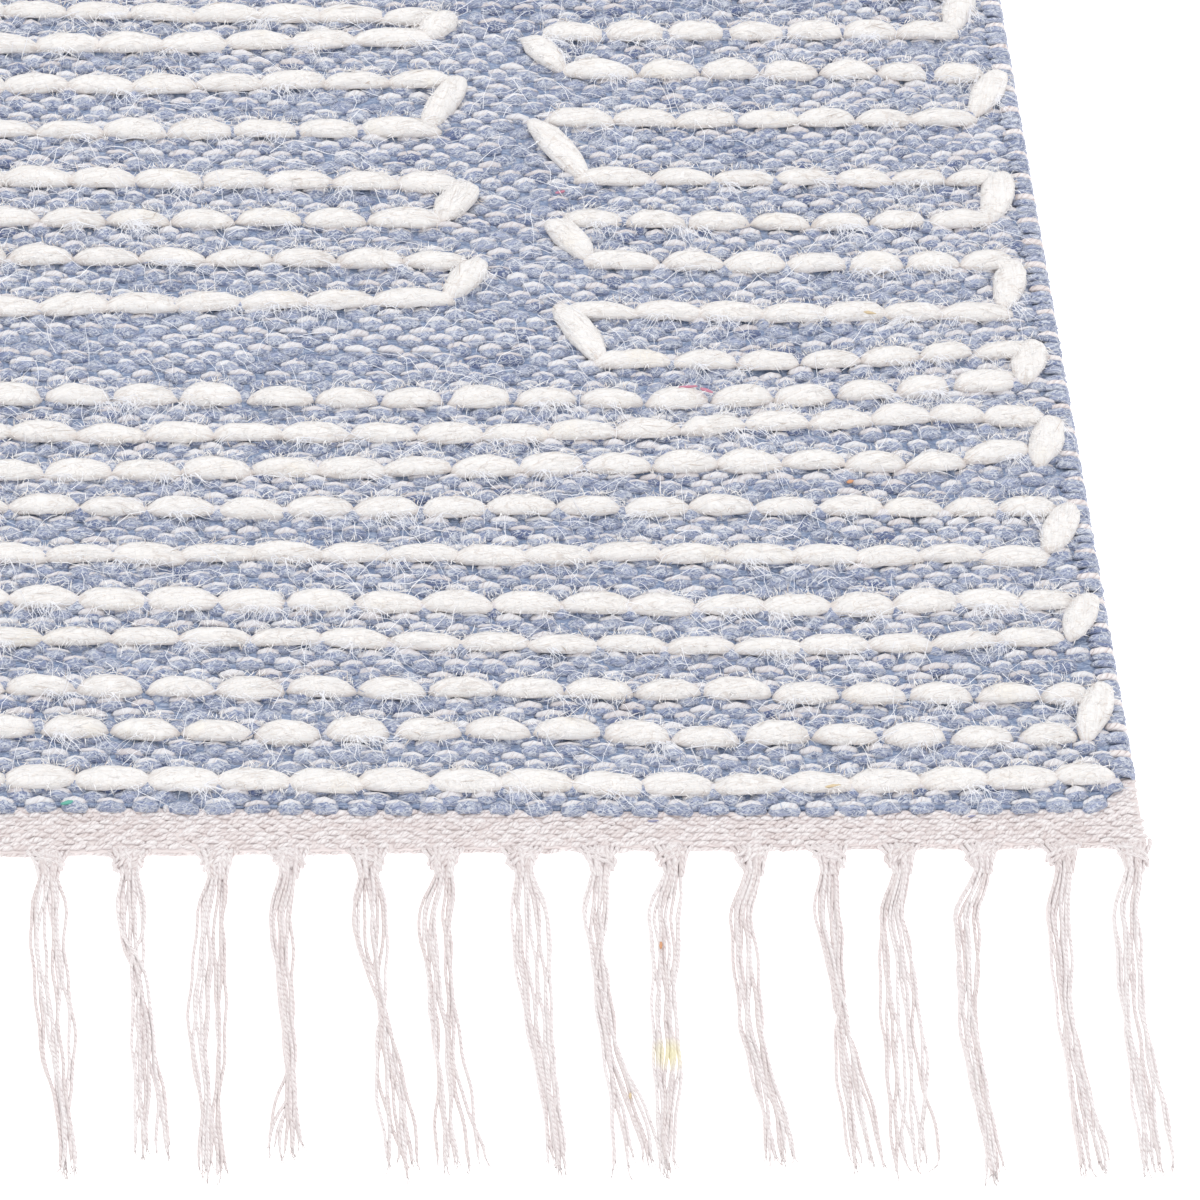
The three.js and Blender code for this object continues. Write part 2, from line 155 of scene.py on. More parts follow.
def blockHeight(index, row, fromRight):
    block = blocks[index]
    measured = firstRows[index] if index < len(firstRows) else []
    left = block["right"] + block["width"]
    if row < len(measured):
        places = [block["right"], (block["right"] + left) / 2, left]
        return float(np.interp(fromRight, places, measured[row]))
    skip = max(len(measured) - 1, 0)
    start = measured[-1][1] if measured else block["first"]
    up = start + (block["last"] - start) * (row - skip) / (block["rows"] - 1 - skip)
    return up + wander(fromRight, up) * min(1, (row - skip) / borderPlan["settleRows"])


# The warp units stand evenly at the hem. Over the heights in rises they drift, by firstDrift near the
# right edge and by laterDrift well past within, and over the places in fades they stop drifting.
warpPlan = {"first": 17, "firstDrift": 3.0, "laterDrift": -2.6, "within": 30, "rises": (18, 100),
            "fades": (300, 600)}
lastUnit = int((rug["width"] - warpPlan["first"]) / rug["warpPitch"])


def warpPlace(unit, up):
    plan = warpPlan
    plain = plan["first"] + rug["warpPitch"] * unit
    share = math.exp(-(plain - plan["first"]) / plan["within"])
    drift = plan["laterDrift"] + (plan["firstDrift"] - plan["laterDrift"]) * share
    return plain + smooth(up, *plan["rises"]) * drift * (1 - smooth(plain, *plan["fades"]))


# Colours and nodes


def linear(hexText):
    parts = [int(hexText[i:i + 2], 16) / 255 for i in (1, 3, 5)]
    return [p / 12.92 if p <= 0.04045 else ((p + 0.055) / 1.055) ** 2.4 for p in parts] + [1]


# Adds a node. A setting is one of the node's own values, its ramp's stops, or an input's value or
# source. A node as a source stands for its first output.
def addNode(tree, kind, settings=None):
    node = tree.nodes.new(kind)
    for name, value in (settings or {}).items():
        if isinstance(value, bpy.types.Node):
            value = value.outputs[0]
        if isinstance(value, bpy.types.NodeSocket):
            tree.links.new(value, node.inputs[name])
        elif name == "stops":
            elements = node.color_ramp.elements
            while len(elements) < len(value):
                elements.new(0.5)
            for element, (place, hue) in zip(elements, value):
                element.position = place
                element.color = linear(hue)
        elif isinstance(name, str) and hasattr(node, name):
            setattr(node, name, value)
        else:
            node.inputs[name].default_value = value
    return node


def newMaterial(name):
    material = bpy.data.materials.new(name)
    material.use_nodes = True
    material.node_tree.nodes.clear()
    return material, material.node_tree


# Ends a material. Each layer is a colour laid over the one before, with its way of blending and its
# share. bump is how strongly the relief shows and its depth in millimetres.
def finishMaterial(material, shading, colour, layers=(), relief=None, bump=(0, 0)):
    tree = material.node_tree
    for blend, share, hue in layers:
        colour = addNode(tree, "ShaderNodeMix", {
            "data_type": "RGBA", "blend_type": blend, 0: share, 6: colour, 7: hue,
        }).outputs[2]
    shading = shading | {"Base Color": colour}
    if relief is not None:
        shading["Normal"] = addNode(tree, "ShaderNodeBump", {
            "Strength": bump[0], "Distance": bump[1] * mm, "Height": relief,
        })
    shader = addNode(tree, "ShaderNodeBsdfPrincipled", shading)
    addNode(tree, "ShaderNodeOutputMaterial", {"Surface": shader})
    return material


# What each point of a yarn knows: how far along and around it lies, in millimetres, and its shade
def yarnValues(tree):
    return {label: addNode(tree, "ShaderNodeAttribute", {"attribute_name": label}).outputs["Fac"]
            for label in ("alongYarn", "aroundYarn", "shade")}


# Fibres that follow a yarn: long along it, fine round it, and leaning with its twist. Each yarn's
# own shade moves the pattern by up to shadeShift cells, so that no two are alike.
shadeShift = 91


def addFibres(tree, yarn, look):
    leaning = addNode(tree, "ShaderNodeMath", {
        "operation": "MULTIPLY_ADD", 0: yarn["alongYarn"], 1: look["twist"], 2: yarn["aroundYarn"],
    })
    place = addNode(tree, "ShaderNodeCombineXYZ", {"X": yarn["alongYarn"], "Y": leaning, "Z": yarn["shade"]})
    cells = addNode(tree, "ShaderNodeVectorMath", {
        "operation": "DIVIDE", 0: place, 1: (look["fibreLength"], look["fibreWidth"], 1 / shadeShift),
    })
    return addNode(tree, "ShaderNodeTexNoise", {
        "Scale": 1.0, "Detail": 4.0, "Roughness": look["roughness"], "Distortion": look["bend"],
        "Vector": cells,
    })


# Stray fibres, drawn where a distorted noise crosses its middle value, which gives long thin
# curved lines. pace is in noise cells to the metre, half is half a line's width in noise steps.
def strayFibres(tree, place, pace, half, seed, share=1.0):
    noise = addNode(tree, "ShaderNodeTexNoise", {
        "noise_dimensions": "4D", "W": seed, "Scale": pace, "Detail": 1.0, "Distortion": 1.2,
        "Vector": place,
    })
    offset = addNode(tree, "ShaderNodeMath", {"operation": "SUBTRACT", 0: noise, 1: 0.5})
    away = addNode(tree, "ShaderNodeMath", {"operation": "ABSOLUTE", 0: offset})
    return addNode(tree, "ShaderNodeMapRange", {
        "From Min": half, "From Max": 0.4 * half, "To Max": share, "Value": away,
    })


# Dark and pale stray fibres as two layers of colour, and the relief that the pale ones add to the
# fibres. dark and pale give the pace, half width and seed of each kind of line.
def strayLayers(tree, fibres, darkPlace, palePlace, look):
    dark = strayFibres(tree, darkPlace, *look["dark"], look["darkShare"])
    pale = addNode(tree, "ShaderNodeMath", {
        "operation": "MAXIMUM", 0: strayFibres(tree, palePlace, *look["pale"][0]),
        1: strayFibres(tree, palePlace, *look["pale"][1]),
    })
    faint = addNode(tree, "ShaderNodeMath", {"operation": "MULTIPLY", 0: pale, 1: look["paleShare"]})
    relief = addNode(tree, "ShaderNodeMath", {
        "operation": "MULTIPLY_ADD", 0: pale, 1: look["paleRelief"], 2: fibres,
    })
    return [("MIX", dark, linear(look["darkHue"])), ("MIX", faint, linear(look["paleHue"]))], relief


# Carded wool, dyed in the fleece and hand spun: a heathered mix of pale and dark blue fibres, matt,
# with a pale halo. The fibres are drawn a little coarser than real ones so that they show. Away
# from the corner the cotton crescents and the down are painted on the floats.
blueWoolLook = {
    "fibreLength": 1.9, "fibreWidth": 0.32, "twist": 0.5, "roughness": 0.7, "bend": 0.9, "bumpDepth": 0.42,
    "dark": (540.0, 0.042, 3.0), "darkShare": 0.65, "darkHue": "#5F6E96",
    "pale": [(560.0, 0.035, 7.0), (730.0, 0.035, 11.0)], "paleShare": 0.75, "paleHue": "#ECF0F8",
    "paleRelief": 0.35,
}


def makeBlueWool(name, paintedCotton):
    material, tree = newMaterial(name)
    yarn = yarnValues(tree)
    fibres = addFibres(tree, yarn, blueWoolLook)
    colour = addNode(tree, "ShaderNodeValToRGB", {"Fac": fibres, "stops": [
        (0.32, "#818BAD"), (0.43, "#A4ADCB"), (0.54, "#BCC4DB"), (0.66, "#DBE0EE"),
    ]})
    tint = addNode(tree, "ShaderNodeValToRGB", {"Fac": yarn["shade"], "stops": [
        (0.0, "#A9B1C8"), (0.1, "#DADEE8"), (0.5, "#F2F3F6"), (1.0, "#FFFFFF"),
    ]})
    onRug = addNode(tree, "ShaderNodeTexCoord").outputs["Object"]
    drawn = addNode(tree, "ShaderNodeMapping", {"Scale": (0.5, 1.2, 1.0), "Vector": onRug})
    strays, relief = strayLayers(tree, fibres, drawn, drawn, blueWoolLook)
    layers = [("MULTIPLY", 1.0, tint), *strays]
    if paintedCotton:
        normal = addNode(tree, "ShaderNodeNewGeometry").outputs["Normal"]
        backward = addNode(tree, "ShaderNodeSeparateXYZ", {"Vector": normal}).outputs["Y"]
        crescent = addNode(tree, "ShaderNodeMapRange", {"From Min": 0.1, "From Max": 0.28, "Value": backward})
        layers += [("MIX", 0.26, linear("#E9EBF1")), ("MIX", crescent, linear("#EAE8ED"))]
    return finishMaterial(material, {
        "Roughness": 0.95, "Specular IOR Level": 0.1, "Sheen Weight": 0.35, "Sheen Roughness": 0.5,
    }, colour, layers, relief, (0.8, blueWoolLook["bumpDepth"]))


# Soft low-twist wool, scoured and undyed: near white and warm, with faint yellow patches. Low down
# between the stitches, where shade falls, it is painted tan: painted shade.
creamWoolLook = {
    "fibreLength": 6.0, "fibreWidth": 0.36, "twist": 0.22, "roughness": 0.65, "bend": 0.6, "bumpDepth": 0.2,
    "dark": (420.0, 0.022, 5.0), "darkShare": 0.35, "darkHue": "#BFB0A6",
    "pale": [(480.0, 0.03, 9.0), (650.0, 0.03, 13.0)], "paleShare": 0.45, "paleHue": "#F8F8FA",
    "paleRelief": 0.4, "paintedShadeBelow": 6.4, "paintedShadeWhole": 5.2, "ragged": 4.0,
}


def makeCreamWool():
    material, tree = newMaterial("creamWool")
    look = creamWoolLook
    fibres = addFibres(tree, yarnValues(tree), look)
    colour = addNode(tree, "ShaderNodeValToRGB", {"Fac": fibres, "stops": [
        (0.28, "#E0D8D3"), (0.4, "#EFEAE7"), (0.5, "#F5F2F0"), (0.7, "#F9F6F5"),
    ]})
    onRug = addNode(tree, "ShaderNodeTexCoord").outputs["Object"]
    clouds = addNode(tree, "ShaderNodeTexNoise", {"Scale": 90.0, "Detail": 2.0, "Vector": onRug})
    patches = addNode(tree, "ShaderNodeMapRange", {
        "From Min": 0.6, "From Max": 0.78, "To Max": 0.5, "Value": clouds,
    })
    drawn = addNode(tree, "ShaderNodeMapping", {"Scale": (0.35, 1.2, 1.0), "Vector": onRug})
    strays, relief = strayLayers(tree, fibres, drawn, onRug, look)
    # Painted shade: low down, where the stitches and the cloth shade each other, the yarn is painted tan, its
    # edge made ragged by the fibres
    height = addNode(tree, "ShaderNodeSeparateXYZ", {"Vector": onRug}).outputs["Z"]
    ragged = addNode(tree, "ShaderNodeMath", {
        "operation": "MULTIPLY_ADD", 0: fibres, 1: look["ragged"] * mm, 2: height,
    })
    low = addNode(tree, "ShaderNodeMapRange", {
        "From Min": look["paintedShadeBelow"] * mm, "From Max": look["paintedShadeWhole"] * mm, "To Max": 0.42, "Value": ragged,
    })
    layers = [("MIX", patches, linear("#F0E8DA")), *strays, ("MIX", low, linear("#D6C8C0"))]
    return finishMaterial(material, {
        "Roughness": 0.95, "Specular IOR Level": 0.08, "Sheen Weight": 0.42, "Sheen Roughness": 0.6,
    }, colour, layers, relief, (0.8, look["bumpDepth"]))


# Two-ply cotton, unbleached: off-white with a pink cast, the plies parted by a groove painted darker as
# painted shade.
cottonLook = {"plyPitch": 1.3, "fibreLength": 1.3, "fibreWidth": 0.3, "twist": 0.9, "roughness": 0.7,
              "bend": 0.0, "bumpDepth": 0.16, "unevenness": 6.0}


# stains: fromRight, up and radius of each, and its colour
def makeCotton(name, cast, plyContrast, stains):
    material, tree = newMaterial(name)
    yarn = yarnValues(tree)
    fibres = addFibres(tree, yarn, cottonLook)
    winding = addNode(tree, "ShaderNodeMath", {
        "operation": "ADD", 0: yarn["aroundYarn"], 1: yarn["alongYarn"],
    })
    uneven = addNode(tree, "ShaderNodeMath", {
        "operation": "MULTIPLY", 0: fibres, 1: cottonLook["unevenness"],
    })
    phase = addNode(tree, "ShaderNodeMath", {
        "operation": "MULTIPLY_ADD", 0: winding, 1: 2 * math.pi / cottonLook["plyPitch"], 2: uneven,
    })
    wave = addNode(tree, "ShaderNodeMath", {"operation": "SINE", 0: phase})
    plies = addNode(tree, "ShaderNodeMath", {"operation": "MULTIPLY_ADD", 0: wave, 1: plyContrast, 2: 0.13})
    relief = addNode(tree, "ShaderNodeMath", {"operation": "MULTIPLY_ADD", 0: fibres, 1: 0.9, 2: plies})
    # Painted shade: the colour follows the relief, so the groove between the plies is painted darker; the
    # fibres vary it too
    colour = addNode(tree, "ShaderNodeValToRGB", {"Fac": relief, "stops": [
        (0.36, "#BFB0AF"), (0.46, "#DFD6D6"), (0.58, "#EFEAEA"), (0.8, "#F8F5F5"),
    ]})
    tint = addNode(tree, "ShaderNodeValToRGB", {"Fac": yarn["shade"], "stops": [
        (0.0, "#F2EDEC"), (0.5, "#FBF9F9"), (1.0, "#FFFFFF"),
    ]})
    layers = [("MULTIPLY", 1.0, tint), ("MULTIPLY", 1.0, linear(cast))]
    onRug = addNode(tree, "ShaderNodeTexCoord").outputs["Object"]
    for fromRight, up, reach, hue in stains:
        away = addNode(tree, "ShaderNodeVectorMath", {
            "operation": "DISTANCE", 0: onRug, 1: (xOf(fromRight) * mm, yOf(up) * mm, 2 * mm),
        }).outputs["Value"]
        stained = addNode(tree, "ShaderNodeMapRange", {
            "From Min": reach * mm, "From Max": 0.3 * reach * mm, "To Max": 0.6, "Value": away,
        })
        layers.append(("MIX", stained, linear(hue)))
    return finishMaterial(material, {
        "Roughness": 0.9, "Specular IOR Level": 0.15, "Sheen Weight": 0.15, "Sheen Roughness": 0.6,
    }, colour, layers, relief, (0.6, cottonLook["bumpDepth"]))


# Single wool hairs, from the darkest to the palest. Light passes through a hair, so it stays pale in
# the shade of the yarn: glow stands for that light.
def makeHair(name, hues, glow):
    material, tree = newMaterial(name)
    colour = addNode(tree, "ShaderNodeValToRGB", {"Fac": yarnValues(tree)["shade"], "stops": hues})
    return finishMaterial(material, {
        "Roughness": 0.7, "Specular IOR Level": 0.3, "Sheen Weight": 0.3, "Emission Color": colour,
        "Emission Strength": glow,
    }, colour)


# Fibres of a cloth without yarns of its own. scale is in noise cells to the metre.
def addGrain(tree, onRug, scale, bend):
    place = addNode(tree, "ShaderNodeMapping", {"Scale": scale, "Vector": onRug})
    return addNode(tree, "ShaderNodeTexNoise", {
        "Scale": 1.0, "Detail": 3.0, "Distortion": bend, "Vector": place,
    })


# Deep in the weave between the floats: blue fibres painted darker than the floats over them, as painted shade
# in the gaps
def makeClothDeep():
    material, tree = newMaterial("blueWoolPaintedShade")
    onRug = addNode(tree, "ShaderNodeTexCoord").outputs["Object"]
    fibres = addGrain(tree, onRug, (700, 2100, 1), 1.2)
    # The darker blues are painted shade deep in the weave
    colour = addNode(tree, "ShaderNodeValToRGB", {"Fac": fibres, "stops": [
        (0.35, "#7F8EAF"), (0.52, "#9BAAC6"), (0.68, "#C0CADC"),
    ]})
    return finishMaterial(material, {"Roughness": 1.0, "Specular IOR Level": 0.05}, colour, (), fibres,
                          (1.0, 0.6))


# Cloth from below, where the weave is as on the face: picks over and under warps. Each brick is one
# float, of either hue, and the joints are what shows between them.
def makeClothBack(name, hues, joint, width, height):
    material, tree = newMaterial(name)
    onRug = addNode(tree, "ShaderNodeTexCoord").outputs["Object"]
    bricks = addNode(tree, "ShaderNodeTexBrick", {
        "Scale": 1.0, "Color1": linear(hues[0]), "Color2": linear(hues[1]), "Mortar": linear(joint),
        "Mortar Size": 0.15 * height * mm, "Mortar Smooth": 0.8, "Brick Width": width * mm,
        "Row Height": height * mm, "Vector": onRug,
    })
    fibres = addGrain(tree, onRug, (500, 2600, 1), 0.6)
    streaks = addNode(tree, "ShaderNodeValToRGB", {"Fac": fibres, "stops": [
        (0.3, "#B9BDC9"), (0.5, "#EDEEF2"), (0.7, "#FFFFFF"),
    ]})
    fine = addNode(tree, "ShaderNodeMath", {"operation": "MULTIPLY", 0: fibres, 1: 0.4})
    relief = addNode(tree, "ShaderNodeMath", {"operation": "SUBTRACT", 0: fine, 1: bricks.outputs["Fac"]})
    return finishMaterial(material, {"Roughness": 0.95, "Specular IOR Level": 0.1, "Sheen Weight": 0.2},
                          bricks, [("MULTIPLY", 1.0, streaks)], relief, (0.8, 0.2 * height))


blueWool = makeBlueWool("blueWool", False)
blueWoolPlain = makeBlueWool("blueWoolWithCotton", True)
creamWool = makeCreamWool()
cotton = makeCotton("plyedCotton", "#FFFFFF", 0.1, [
    (104.4, -50.5, 4.5, "#F3EDB8"), (50.5, -62, 2.5, "#EFE4C8"),
])
warpCotton = makeCotton("warpCotton", "#F6FBFF", 0.05, [])
hairLook = makeHair("looseWoolHair", [(0.0, "#E4E6ED"), (1.0, "#F5F5F8")], 0.22)
haloLook = makeHair("standingWoolHair", [(0.0, "#C6B9AF"), (0.14, "#EFEBE9"), (1.0, "#F6F6F7")], 0.18)
blueFibre = makeHair("looseBlueFibre", [(0.0, "#7486B0"), (1.0, "#EAEEF6")], 0.08)
clothDeep = makeClothDeep()
clothBack = makeClothBack("clothBack", ("#A3B1CC", "#BBC5DA"), "#E9E4E6", 2 * rug["warpPitch"],
                          rug["pickPitch"])
bandBack = makeClothBack("bandBack", ("#EDE6E5", "#F6F1F0"), "#D2C6C4", 3.0, 1.1)
print("materials made")


# Meshes


def newPiece(name, mesh):
    piece = bpy.data.objects.new(name, mesh)
    bpy.context.scene.collection.objects.link(piece)
    return piece


# A short length of yarn that lies along X over its neighbours and dives at both ends. line gives
# the centre's x and z and the half width and half height at each station, from end to end. Most
# of the section's corners are on its upper side. lobes are the strands that its outline shows.
def yarnShape(name, line, sides, lobes=(0, 0, 0)):
    verts, along, around, faces = [], [], [], []
    lobeCount, lobeDepth, lobeTwist = lobes
    travelled = 0.0
    for i, (x, z, halfWidth, halfHeight) in enumerate(line):
        before, after = line[max(i - 1, 0)], line[min(i + 1, len(line) - 1)]
        if i:
            travelled += math.hypot(x - line[i - 1][0], z - line[i - 1][1])
        if i in (0, len(line) - 1):
            verts.append((x, 0, z))
            along.append(travelled)
            around.append(0.0)
            continue
        run, rise = after[0] - before[0], after[1] - before[1]
        length = math.hypot(run, rise)
        for k in range(sides):
            share = (2 * k + 1) / sides - 1
            angle = math.pi * share * (0.7 + 0.3 * share * share)
            swell = 1 + lobeDepth * math.cos(lobeCount * angle + lobeTwist * x)
            high = halfHeight * math.cos(angle) * swell
            verts.append((x - rise / length * high, -halfWidth * math.sin(angle) * swell,
                          z + run / length * high))
            along.append(travelled)
            around.append(angle * (halfWidth + halfHeight) / 2)
    rings = len(line) - 2
    last = len(verts) - 1
    for k in range(sides):
        j = (k + 1) % sides
        faces.append((0, 1 + j, 1 + k))
        faces.append((last, 1 + (rings - 1) * sides + k, 1 + (rings - 1) * sides + j))
        for r in range(rings - 1):
            a, b = 1 + r * sides, 1 + (r + 1) * sides
            faces.append((a + k, a + j, b + j, b + k))
    mesh = bpy.data.meshes.new(name)
    mesh.from_pydata([[c * mm for c in v] for v in verts], [], faces)
    mesh.shade_smooth()
    for label, values in (("alongYarn", along), ("aroundYarn", around)):
        mesh.attributes.new(label, "FLOAT", "POINT").data.foreach_set("value", values)
    return bpy.data.objects.new(name, mesh)


# How full a grain of yarn is at t, from -1 at one end to 1 at the other
def fullness(size, t):
    return (1 - abs(t) ** size["blunt"]) ** size.get("taper", 0.5)


# The line of a grain of yarn, from its half length, how far its ends dive and how suddenly, its
# half width and height, and how blunt and tapered its ends are. middle is the height of its centre
# over the floor, which its place gives.
def grainLine(size, stations):
    line = []
    for i in range(stations):
        t = -math.cos(math.pi * i / (stations - 1))
        full = fullness(size, t) if 0 < i < stations - 1 else 0
        line.append((size["halfLength"] * t, -size["dive"] * abs(t) ** size["arch"],
                     size["halfWidth"] * full, size["halfHeight"] * full))
    return line


def addInputs(tree, inputs):
    for name, kind in inputs:
        tree.interface.new_socket(name, in_out="INPUT", socket_type="NodeSocket" + kind)
    tree.interface.new_socket("Geometry", in_out="OUTPUT", socket_type="NodeSocketGeometry")
    return addNode(tree, "NodeGroupInput").outputs


# Places one shape on many points, makes all of it real and gives it a slight unevenness
def buildScatterTree():
    tree = bpy.data.node_groups.new("scatterYarn", "GeometryNodeTree")
    given = addInputs(tree, [("Points", "Geometry"), ("Shape", "Object"), ("Finish", "Material"),
                             ("Lump Height", "Float"), ("Lump Size", "Float"), ("Seed", "Float")])
    shape = addNode(tree, "GeometryNodeObjectInfo", {"Object": given["Shape"]}).outputs["Geometry"]
    turn, size = (addNode(tree, "GeometryNodeInputNamedAttribute", {
        "data_type": "FLOAT_VECTOR", "Name": label,
    }).outputs["Attribute"] for label in ("turn", "size"))
    turned = addNode(tree, "FunctionNodeEulerToRotation", {"Euler": turn})
    placed = addNode(tree, "GeometryNodeInstanceOnPoints", {
        "Points": given["Points"], "Instance": shape, "Rotation": turned, "Scale": size,
    })
    real = addNode(tree, "GeometryNodeRealizeInstances", {"Geometry": placed})
    where = addNode(tree, "GeometryNodeInputPosition")
    pace = addNode(tree, "ShaderNodeMath", {"operation": "DIVIDE", 0: 1.0, 1: given["Lump Size"]})
    noise = addNode(tree, "ShaderNodeTexNoise", {
        "noise_dimensions": "4D", "Detail": 1.0, "Vector": where, "W": given["Seed"], "Scale": pace,
    })
    centred = addNode(tree, "ShaderNodeVectorMath", {
        "operation": "SUBTRACT", 0: noise.outputs["Color"], 1: (0.5, 0.5, 0.5),
    })
    shift = addNode(tree, "ShaderNodeVectorMath", {
        "operation": "SCALE", 0: centred, "Scale": given["Lump Height"],
    })
    moved = addNode(tree, "GeometryNodeSetPosition", {"Geometry": real, "Offset": shift})
    finished = addNode(tree, "GeometryNodeSetMaterial", {"Geometry": moved, "Material": given["Finish"]})
    addNode(tree, "NodeGroupOutput", {"Geometry": finished})
    return tree


# Sweeps a round section along curves whose point radius is the yarn's, and notes for the material
# how far along and around the yarn each point is
def buildThreadTree():
    tree = bpy.data.node_groups.new("sweepThread", "GeometryNodeTree")
    given = addInputs(tree, [("Curves", "Geometry"), ("Finish", "Material"), ("Sides", "Int"),
                             ("Girth", "Float"), ("Seed", "Int")])
    reach = addNode(tree, "GeometryNodeSplineParameter").outputs["Length"]
    millimetres = addNode(tree, "ShaderNodeMath", {"operation": "DIVIDE", 0: reach, 1: mm})
    chance = addNode(tree, "FunctionNodeRandomValue", {
        "data_type": "FLOAT", "Seed": given["Seed"],
    }).outputs["Value"]
    circle = addNode(tree, "GeometryNodeCurvePrimitiveCircle", {"Radius": 1.0, "Resolution": given["Sides"]})
    share = addNode(tree, "GeometryNodeSplineParameter").outputs["Factor"]
    spread = addNode(tree, "ShaderNodeMath", {"operation": "MULTIPLY", 0: share, 1: given["Girth"]})
    named = addNode(tree, "GeometryNodeStoreNamedAttribute", {
        "data_type": "FLOAT", "domain": "POINT", "Name": "alongYarn", "Geometry": given["Curves"],
        "Value": millimetres,
    })
    shaded = addNode(tree, "GeometryNodeStoreNamedAttribute", {
        "data_type": "FLOAT", "domain": "CURVE", "Name": "shade", "Geometry": named, "Value": chance,
    })
    section = addNode(tree, "GeometryNodeStoreNamedAttribute", {
        "data_type": "FLOAT", "domain": "POINT", "Name": "aroundYarn", "Geometry": circle, "Value": spread,
    })
    radius = addNode(tree, "GeometryNodeInputRadius")
    swept = addNode(tree, "GeometryNodeCurveToMesh", {
        "Fill Caps": True, "Curve": shaded, "Profile Curve": section, "Scale": radius,
    })
    real = addNode(tree, "GeometryNodeRealizeInstances", {"Geometry": swept})
    finished = addNode(tree, "GeometryNodeSetMaterial", {"Geometry": real, "Material": given["Finish"]})
    addNode(tree, "NodeGroupOutput", {"Geometry": finished})
    return tree


scatterTree = buildScatterTree()
threadTree = buildThreadTree()


# Runs a tree on an object and keeps the result as a plain mesh piece
def grow(name, source, tree, values):
    bpy.context.scene.collection.objects.link(source)
    modifier = source.modifiers.new("grow", "NODES")
    modifier.node_group = tree
    for item in tree.interface.items_tree:
        if item.in_out == "INPUT" and item.name in values:
            modifier[item.identifier] = values[item.name]
    evaluated = source.evaluated_get(bpy.context.evaluated_depsgraph_get())
    mesh = bpy.data.meshes.new_from_object(evaluated)
    mesh.name = name
    mesh.shade_smooth()
    bpy.data.objects.remove(source)
    triangles = sum(len(p.vertices) - 2 for p in mesh.polygons)
    print(name, triangles, "triangles")
    return newPiece(name, mesh)


# places: rows of fromRight, up, lift, turn round Z, then scale along, across and up, and shade. Hairs
# also have a pitch and a roll.
def scatter(name, places, shape, finish, lumps, seed):
    rows = np.array(places)
    mesh = bpy.data.meshes.new(name + "Points")
    spots = np.column_stack([xOf(rows[:, 0]), yOf(rows[:, 1]), rows[:, 2]]) * mm
    mesh.vertices.add(len(rows))
    mesh.vertices.foreach_set("co", spots.ravel())
    turns = np.zeros((len(rows), 3))
    turns[:, 2] = rows[:, 3]
    if rows.shape[1] > 8:
        turns[:, 1], turns[:, 0] = rows[:, 8], rows[:, 9]
    for label, kind, field, values in (("turn", "FLOAT_VECTOR", "vector", turns),
                                       ("size", "FLOAT_VECTOR", "vector", rows[:, 4:7]),
                                       ("shade", "FLOAT", "value", rows[:, 7])):
        mesh.attributes.new(label, kind, "POINT").data.foreach_set(field, values.ravel())
    height, width = lumps
    return grow(name, bpy.data.objects.new(name + "Points", mesh), scatterTree, {
        "Shape": shape, "Finish": finish, "Lump Height": height * mm, "Lump Size": width * mm,
        "Seed": float(seed),
    })


# threads: lists of (x, y, z, radius), in millimetres of the rug's own frame
def sweep(name, threads, finish, sides, girth, seed):
    curve = bpy.data.curves.new(name + "Lines", "CURVE")
    curve.dimensions = "3D"
    for thread in threads:
        spline = curve.splines.new("POLY")
        spline.points.add(len(thread) - 1)
        for point, (x, y, z, radius) in zip(spline.points, thread):
            point.co = (x * mm, y * mm, z * mm, 1)
            point.radius = radius * mm
    return grow(name, bpy.data.objects.new(name + "Lines", curve), threadTree, {
        "Finish": finish, "Sides": sides, "Girth": girth, "Seed": seed,
    })


# The thick cream yarn

thickYarn = {
    "stitchUnits": 4,         # warp units in a stitch
    "overlap": (-0.4, 2.8),   # each stitch's end dives under the next one's, by row
    "freeEnd": 1.5,           # how far from the outer tip a free end, a turn's top and its foot lie
    "underTop": 3.2,
    "atFoot": 7.2,
    "turnFoot": (7.4, -1.2),  # where a turn that isn't measured starts, in from the tip and up
    "turnTop": (1.0, 2.4),    # and where it ends, from the tip at the next row
    "lastRise": 11,           # how far the turn rises where no row follows
    "shortest": 6.0,
    "lumpHeight": 1.35,
    "lumpSize": 3.2,
    "lobes": (4, 0.05, 0.5),
    "seed": 5,
}
stitchSize = {"halfLength": 7.0, "middle": 4.0, "dive": 2.0, "arch": 2.3, "halfWidth": 2.7,
              "halfHeight": 1.75, "blunt": 2.4, "taper": 0.6}
turnSize = {"halfLength": 8.3, "middle": 4.0, "dive": 1.3, "arch": 3.0, "halfWidth": 3.6,
            "halfHeight": 1.9, "blunt": 2.5, "taper": 0.62}


